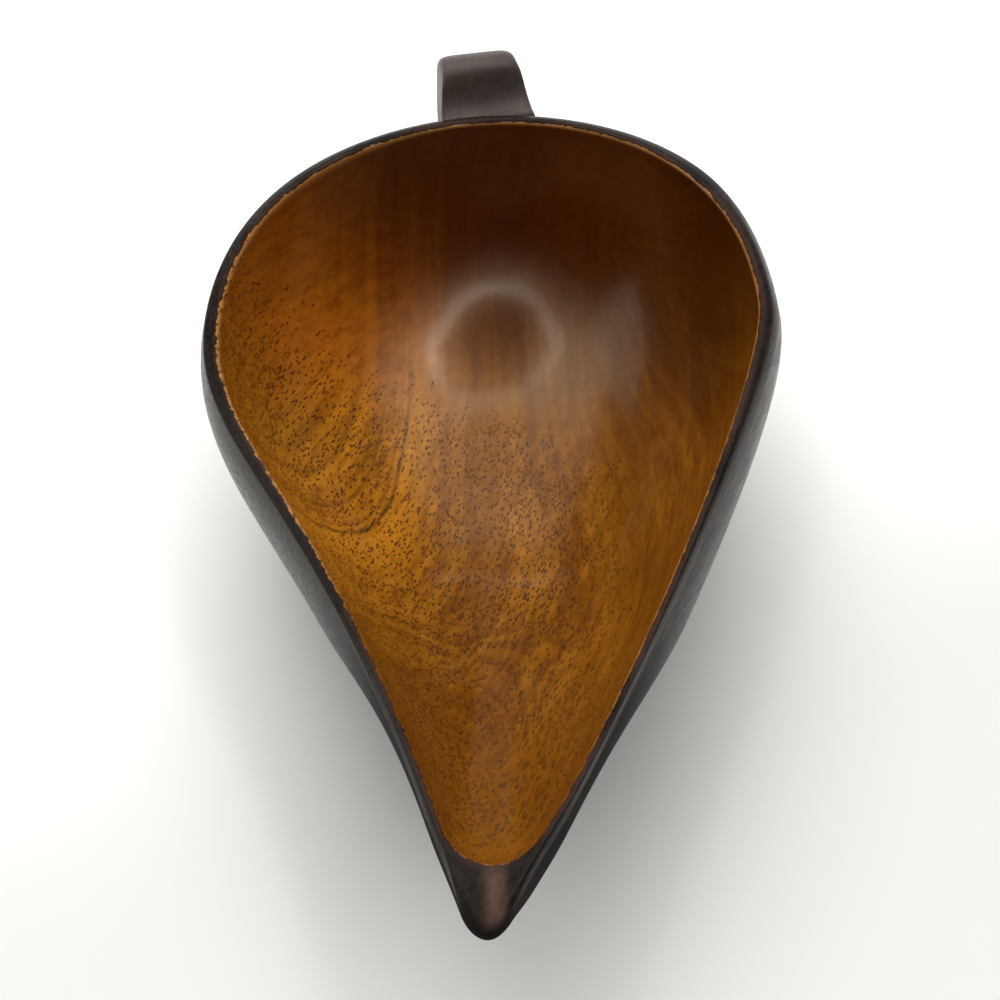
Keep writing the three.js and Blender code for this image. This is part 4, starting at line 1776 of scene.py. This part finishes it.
class StrapTree(LoftTree):
    """The tree that sweeps a rounded strap between two paths."""

    def __init__(self) -> None:
        """Builds the tree."""
        counts = ("Steps", "Sides")
        numbers = (
            "Upper Root Width", "Crest Width", "Belly Width", "Lower Root Width", "Flare Length",
            "Crest S", "Belly S", "Belly H", "Squareness", "Crest Tilt", "Yaw",
            "Place X", "Place Y", "Place Z",
        )
        super().__init__("strap_sweep", numbers, counts)
        bench, given = self.bench, self.given
        mesh, step, side = self.grid(given["Steps"], given["Sides"])
        side = bench.math("MODULO", side, given["Sides"])
        outer = self.read(step)
        grip = self.read(step, "grip")
        middle = bench.blend(0.5, outer, grip)
        half = bench.vector("SCALE", bench.vector("SUBTRACT", outer, grip), 0.5)
        turn = bench.times(bench.math("DIVIDE", side, given["Sides"]), 2 * math.pi)
        power = bench.math("DIVIDE", 2.0, given["Squareness"])
        rise = self.squared("COSINE", turn, power)
        across = self.squared("SINE", turn, power)
        place = bench.vector("ADD", middle, bench.vector("SCALE", half, rise))
        half_width = bench.times(self.width(middle), 0.5)
        lean = bench.pack(X=1.0, Z=self.tilt(middle))
        aside = bench.vector("SCALE", lean, bench.times(half_width, across))
        place = bench.vector("ADD", place, aside)
        feeds = {"Vector": place, "Angle": given["Yaw"]}
        turned = bench.lay("ShaderNodeVectorRotate", feeds, rotation_type="Z_AXIS").outputs[0]
        there = bench.pack(X=given["Place X"], Y=given["Place Y"], Z=given["Place Z"])
        self.end(mesh, bench.vector("ADD", turned, there))

    def tilt(self, middle: Any) -> Any:
        """Adds how far the strap leans to one side, most at its crest.

        Args:
            middle: the middle of the strap.

        Returns:
            The height lost per unit of width.
        """
        bench, given = self.bench, self.given
        parts = bench.split(middle)
        past_root = bench.smooth(parts["Y"], 0.0, given["Crest S"])
        above_belly = bench.smooth(parts["Z"], given["Belly H"], 0.0)
        return bench.times(past_root, above_belly, given["Crest Tilt"], -1.0)

    def squared(self, trade: str, turn: Any, power: Any) -> Any:
        """Adds one leg of a squared-off circle.

        Args:
            trade: SINE or COSINE.
            turn: the angle round the strap.
            power: how square it is.

        Returns:
            The leg, from -1 to 1.
        """
        bench = self.bench
        leg = bench.math(trade, turn)
        size = bench.math("POWER", bench.math("ABSOLUTE", leg), power)
        return bench.times(size, bench.math("SIGN", leg))

    def width(self, middle: Any) -> Any:
        """Adds the strap's width: flared at the roots, slimmest at the belly.

        Args:
            middle: the middle of the strap.

        Returns:
            The width.
        """
        bench, given = self.bench, self.given
        parts = bench.split(middle)
        back, height = parts["Y"], parts["Z"]
        past_crest = bench.smooth(back, given["Crest S"], given["Belly S"])
        over = bench.between(past_crest, given["Crest Width"], given["Belly Width"])
        past_flare = bench.smooth(back, 0.0, given["Flare Length"])
        upper = bench.between(past_flare, given["Upper Root Width"], over)
        past_root = bench.smooth(back, 0.0, given["Belly S"])
        lower = bench.between(past_root, given["Lower Root Width"], given["Belly Width"])
        low = bench.math("SUBTRACT", given["Belly H"], given["Flare Length"])
        high = bench.math("ADD", given["Belly H"], given["Flare Length"])
        return bench.between(bench.smooth(height, low, high), lower, upper)


def quarter(start: np.ndarray, end: np.ndarray, pull: float) -> tuple[Any, ...]:
    """Draws a quarter turn that leaves level and arrives upright.

    Args:
        start: where it leaves.
        end: where it arrives.
        pull: its roundness.

    Returns:
        Its four control points.
    """
    level = (start[0] + pull * (end[0] - start[0]), start[1])
    upright = (end[0], end[1] + pull * (start[1] - end[1]))
    return start, level, upright, end


def homeward(start: np.ndarray, height: float, pull: float, fall: float) -> tuple[Any, ...]:
    """Draws a turn that leaves upright and falls towards the wall.

    Args:
        start: where it leaves.
        height: where it meets the wall.
        pull: its roundness.
        fall: its slope at the wall.

    Returns:
        Its four control points.
    """
    upright = (start[0], start[1] + pull * (height - start[1]))
    sloping = (pull * start[0], height + pull * start[0] * fall)
    return start, upright, sloping, (0.0, height)


@dataclass
class EarHandle:
    """The looped ear handle, drawn from the side: S back from the rim and H above its top."""

    place: Triple = (-1.5, 60.5, 52.0)
    yaw: float = 15.0
    upper_root_width: float = 19.4
    crest_width: float = 16.2
    belly_width: float = 12.0
    lower_root_width: float = 15.0
    flare_length: float = 8.0
    root_reach: float = 1.6
    lower_reach: float = 9.5
    upper_root_drop: float = 0.4
    upper_root_depth: float = 7.2
    front: Span = (4.1, 5.0)
    front_angle: float = 74.0
    front_pull: float = 2.2
    crest: Span = (7.6, 8.1)
    belly: Span = (22.3, -17.0)
    strap_thickness: float = 6.7
    grip_top: Span = (8.5, -5.2)
    lower_root: float = -31.0
    lower_root_depth: float = 7.0
    seat_angle: float = 9.0
    strap_pull: float = 0.42
    grip_pull: float = 0.5
    squareness: float = 7.0
    crest_tilt: float = 0.07
    steps: int = 40
    sides: int = 96
    widths: tuple[str, ...] = (
        "upper_root_width", "crest_width", "belly_width", "lower_root_width", "flare_length",
    )

    def paths(self) -> tuple[np.ndarray, np.ndarray]:
        """Draws the strap's outer and grip sides, matched point by point.

        Returns:
            The two paths in S and H.
        """
        top = -self.upper_root_drop
        under = top - self.upper_root_depth
        lower_under = self.lower_root - self.lower_root_depth
        fall = math.tan(math.radians(self.seat_angle))
        lean = np.array((math.cos(math.radians(self.front_angle)), math.sin(math.radians(self.front_angle))))
        lean = lean * self.front_pull
        front, crest, belly, grip_top = (
            np.array(point) for point in (self.front, self.crest, self.belly, self.grip_top)
        )
        grip_back = np.array((self.belly[0] - self.strap_thickness, self.belly[1]))
        root, low, reach = self.root_reach, self.lower_reach, self.strap_pull
        half = self.steps // 2
        pull = self.grip_pull
        crest_start = crest - np.array((self.front_pull, 0.0))
        outer = np.vstack([
            [(-root, top)],
            even_bezier(((0.0, top), (self.front_pull, top), front - lean, front), half),
            even_bezier((front, front + lean, crest_start, crest), half),
            even_bezier(quarter(crest, belly, reach), self.steps),
            even_bezier(homeward(belly, lower_under, reach, fall), self.steps),
            [(0.0, lower_under), (-low, lower_under - low * fall)],
        ])
        arch = ((0.0, under), (pull * grip_top[0], under), (pull * grip_top[0], grip_top[1]), grip_top)
        grip = np.vstack([
            [(-root, under)],
            even_bezier(arch, 2 * half),
            even_bezier(quarter(grip_top, grip_back, pull), self.steps),
            even_bezier(homeward(grip_back, self.lower_root, pull, fall), self.steps),
            [(0.0, self.lower_root), (-low, self.lower_root - low * fall)],
        ])
        return outer, grip

    def build(self, tree: bpy.types.NodeTree, material: bpy.types.Material) -> bpy.types.Object:
        """Makes the handle.

        Args:
            tree: the strap's geometry tree.
            material: its finish.

        Returns:
            The piece.
        """
        outer, grip = self.paths()
        flat = np.zeros(len(outer))
        base = line_mesh(
            "strap_path",
            np.column_stack([flat, outer]) * MM,
            grip=np.column_stack([flat, grip]) * MM,
        )
        sizes = {
            "Steps": len(outer) - 1,
            "Sides": self.sides,
            **{name.replace("_", " ").title(): getattr(self, name) * MM for name in self.widths},
            "Crest S": self.crest[0] * MM,
            "Belly S": self.belly[0] * MM,
            "Belly H": self.belly[1] * MM,
            "Squareness": self.squareness,
            "Crest Tilt": self.crest_tilt,
            "Yaw": math.radians(self.yaw),
            **{"Place " + axis: size * MM for axis, size in zip("XYZ", self.place)},
            "Faces Outwards": False,
            "Finish": material,
        }
        piece = join("ear_handle", [grow("strap", base, tree, sizes)], material)
        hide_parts("loop_handle")
        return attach(piece, BODY)


@dataclass
class LocatingPegs:
    """The two locating pegs, which keep their own solids."""

    names: tuple[str, ...] = ("upper_peg", "lower_peg")

    def dress(self, nodes: dict[str, bpy.types.Object], material: bpy.types.Material) -> None:
        """Gives the pegs their finish.

        Args:
            nodes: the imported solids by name.
            material: the finish.
        """
        for name in self.names:
            nodes[name].data.materials.clear()
            nodes[name].data.materials.append(material)
            LOG.info("%s keeps its solid", name)


def aim(azimuth: float, elevation: float) -> Vector:
    """Gives a direction from the scoop."""
    turn, rise = math.radians(azimuth), math.radians(elevation)
    return Vector((math.sin(turn) * math.cos(rise), -math.cos(turn) * math.cos(rise), math.sin(rise)))


@dataclass
class SoftLight:
    """One soft lamp: its direction from the scoop, distance, size and power."""

    name: str
    azimuth: float
    elevation: float
    distance: float
    width: float
    depth: float
    power: float

    def build(self, target: Vector) -> None:
        """Places the lamp.

        Args:
            target: what it is turned to.
        """
        away = aim(self.azimuth, self.elevation)
        lamp = bpy.data.lights.new(self.name, "AREA")
        lamp.shape = "RECTANGLE"
        lamp.size = self.width
        lamp.size_y = self.depth
        lamp.energy = self.power
        holder = bpy.data.objects.new(self.name, lamp)
        holder.visible_glossy = False
        holder.location = target + away * self.distance
        holder.rotation_mode = "QUATERNION"
        holder.rotation_quaternion = away.to_track_quat("Z", "Y")
        bpy.context.scene.collection.objects.link(holder)


@dataclass(frozen=True)
class RoomLight:
    """The light of the room: a bright ring in a soft patch overhead, a window, a backdrop and dim walls."""

    walls: float = 0.06
    middle: float = 0.6
    ring: float = 7.5
    patch_level: float = 1.85
    ring_azimuth: float = 16.0
    ring_elevation: float = 82.0
    patch_azimuth: float = 6.0
    patch_elevation: float = 80.0
    patch_spread: Span = (57.0, 34.0)
    ring_reach: Span = (25.5, 37.5)
    ring_taper: float = 0.45
    ring_edges: tuple[float, float, float, float] = (0.82, 0.98, 1.02, 1.16)
    ring_back_share: float = 0.25
    ring_side_shares: Span = (0.9, 1.5)
    ring_back_reach: Span = (0.1, 0.8)
    ring_side_reach: Span = (-0.6, 0.8)
    front_reach: Span = (-0.6, 0.3)
    front_share: float = 0.25
    window: float = 1.1
    window_azimuth: float = -95.0
    window_elevation: float = 28.0
    window_spread: Span = (30.0, 16.0)
    backdrop: float = 1.4
    backdrop_azimuth: float = 180.0
    backdrop_elevation: float = 4.0
    backdrop_spread: Span = (38.0, 16.0)

    def build(self) -> None:
        """Sets the world's light."""
        world = bpy.data.worlds.new("room")
        world.use_nodes = True
        bench = NodeBench(world.node_tree)
        way = bench.lay("ShaderNodeTexCoord").outputs["Generated"]
        ahead = bench.split(way)["Y"]
        ahead = bench.between(bench.smooth(ahead, *self.front_reach), self.front_share, 1.0)
        soft = self.patch(bench, way, self.patch_azimuth, self.patch_elevation, self.patch_spread)
        glow, band = self.ring_light(bench, way)
        level = bench.times(bench.between(soft, self.walls, glow), ahead)
        band = bench.times(band, soft, bench.math("SQRT", ahead))
        level = bench.math("ADD", level, band)
        window = self.patch(bench, way, self.window_azimuth, self.window_elevation, self.window_spread)
        level = bench.math("MULTIPLY_ADD", window, self.window, level)
        behind = self.patch(bench, way, self.backdrop_azimuth, self.backdrop_elevation, self.backdrop_spread)
        level = bench.math("MULTIPLY_ADD", behind, self.backdrop, level)
        bench.wire(world.node_tree.nodes["Background"], {"Strength": level, "Color": (1.0, 1.0, 1.0)})
        bpy.context.scene.world = world

    def ring_light(self, bench: NodeBench, way: Any) -> tuple[Socket, Socket]:
        """Adds the bright oval ring, its dim middle and the soft light round it.

        Args:
            bench: the world's nodes.
            way: the direction that is looked in.

        Returns:
            The soft light's level, and the ring's over it.
        """
        centre = aim(self.ring_azimuth, self.ring_elevation)
        side = (Vector((1.0, 0.0, 0.0)) - centre * centre.x).normalized()
        wide, long = (math.sin(math.radians(angle)) for angle in self.ring_reach)
        back = bench.math("DIVIDE", bench.dot(way, tuple(centre.cross(side))), long)
        narrow = bench.math("MULTIPLY_ADD", bench.math("MAXIMUM", back, 0.0), -self.ring_taper * wide, wide)
        aside = bench.math("DIVIDE", bench.dot(way, tuple(side)), narrow)
        out = bench.math("SQRT", bench.math("MULTIPLY_ADD", aside, aside, bench.times(back, back)))
        start, rise, fall, end = self.ring_edges
        band = bench.times(
            bench.smooth(out, start, rise),
            bench.smooth(out, end, fall),
            bench.between(bench.smooth(back, *self.ring_back_reach), 1.0, self.ring_back_share),
            bench.between(bench.smooth(aside, *self.ring_side_reach), *self.ring_side_shares),
        )
        level = bench.between(bench.smooth(out, start, fall), self.middle, self.patch_level)
        return level, bench.times(band, self.ring - self.patch_level)

    def patch(
        self, bench: NodeBench, way: Any, azimuth: float, elevation: float, spread: Span,
    ) -> Socket:
        """Adds a round soft patch of the room."""
        end, full = (math.cos(math.radians(angle)) for angle in spread)
        return bench.smooth(bench.dot(way, tuple(aim(azimuth, elevation))), end, full)


@dataclass
class Studio:
    """The pale floor, the soft light and the camera at the photograph's angle."""

    floor_half: float = 3.0
    floor_colour: Triple = (0.86, 0.865, 0.83)
    # Painted shade: the floor darkens to this colour towards the front.
    floor_shade_colour: Triple = (0.68, 0.685, 0.655)
    floor_shade_way: Triple = (0.3, -0.954, 0.0)
    floor_shade_reach: Span = (-10.0, 70.0)
    target: Triple = (0.0, -38.0, 52.0)
    distance: float = 228.0
    azimuth: float = -0.5
    elevation: float = 54.0
    lens: float = 50.0
    sensor: float = 36.0
    clip_start: float = 0.01
    lamp_target: Triple = (0.0, -0.02, 0.03)
    lamps: tuple[SoftLight, ...] = field(default_factory=lambda: (
        SoftLight("key", 188.0, 62.0, 1.2, 1.0, 0.8, 10.5),
    ))
    sky: RoomLight = field(default_factory=RoomLight)

    def build(self) -> None:
        """Sets up the floor, light and camera."""
        self.floor()
        self.sky.build()
        for lamp in self.lamps:
            lamp.build(Vector(self.lamp_target))
        self.camera()
        bpy.context.scene.view_settings.view_transform = "Standard"

    def floor(self) -> None:
        """Lays the floor, darkened towards the front by painted shade, and not seen from below."""
        half = self.floor_half
        mesh = bpy.data.meshes.new("floor")
        corners = [(-half, -half, 0.0), (half, -half, 0.0), (half, half, 0.0), (-half, half, 0.0)]
        mesh.from_pydata(corners, [], [(0, 1, 2, 3)])
        material = bpy.data.materials.new("floor")
        material.use_nodes = True
        material.node_tree.nodes.clear()
        bench = NodeBench(material.node_tree)
        # Painted shade: darker towards the front.
        along = bench.dot(bench.spot(), self.floor_shade_way)
        share = bench.smooth(along, *self.floor_shade_reach)
        colour = bench.mix(share, self.floor_colour, self.floor_shade_colour)
        matt = bench.lay("ShaderNodeBsdfDiffuse", {"Color": colour}).outputs[0]
        clear = bench.lay("ShaderNodeBsdfTransparent").outputs[0]
        under = bench.lay("ShaderNodeNewGeometry").outputs["Backfacing"]
        shown = bench.lay("ShaderNodeMixShader", {0: under, 1: matt, 2: clear}).outputs[0]
        bench.feed(bench.lay("ShaderNodeOutputMaterial").inputs["Surface"], shown)
        mesh.materials.append(material)
        floor = bpy.data.objects.new("floor", mesh)
        bpy.context.scene.collection.objects.link(floor)

    def camera(self) -> None:
        """Places the camera."""
        away = aim(self.azimuth, self.elevation)
        lens = bpy.data.cameras.new("camera")
        lens.lens = self.lens
        lens.sensor_width = self.sensor
        lens.clip_start = self.clip_start
        holder = bpy.data.objects.new("camera", lens)
        holder.location = (Vector(self.target) + away * self.distance) * MM
        holder.rotation_mode = "QUATERNION"
        holder.rotation_quaternion = away.to_track_quat("Z", "Y")
        bpy.context.scene.collection.objects.link(holder)
        bpy.context.scene.camera = holder


def main() -> None:
    """Builds the scoop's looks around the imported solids."""
    logging.basicConfig(level=logging.INFO, format="%(name)s: %(message)s")
    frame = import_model()
    Studio().build()
    plan = RimPlan()
    wall_tree = WallTree().tree
    bowl = CarvedBowl(plan)
    skin = LacquerSkin(bowl)
    rounding = skin.rounding()
    pieces = [
        bowl.build(wall_tree, GoldenWood().material(), rounding),
        skin.build(wall_tree, DarkLacquer().material(), rounding),
        EarHandle().build(StrapTree().tree, StainedWood().material()),
    ]
    LocatingPegs().dress(frame["nodes"], PegWood().material())
    for piece in pieces:
        piece.data.calc_loop_triangles()
        LOG.info("%s has %d triangles", piece.name, len(piece.data.loop_triangles))


if __name__ == "__main__":
    main()
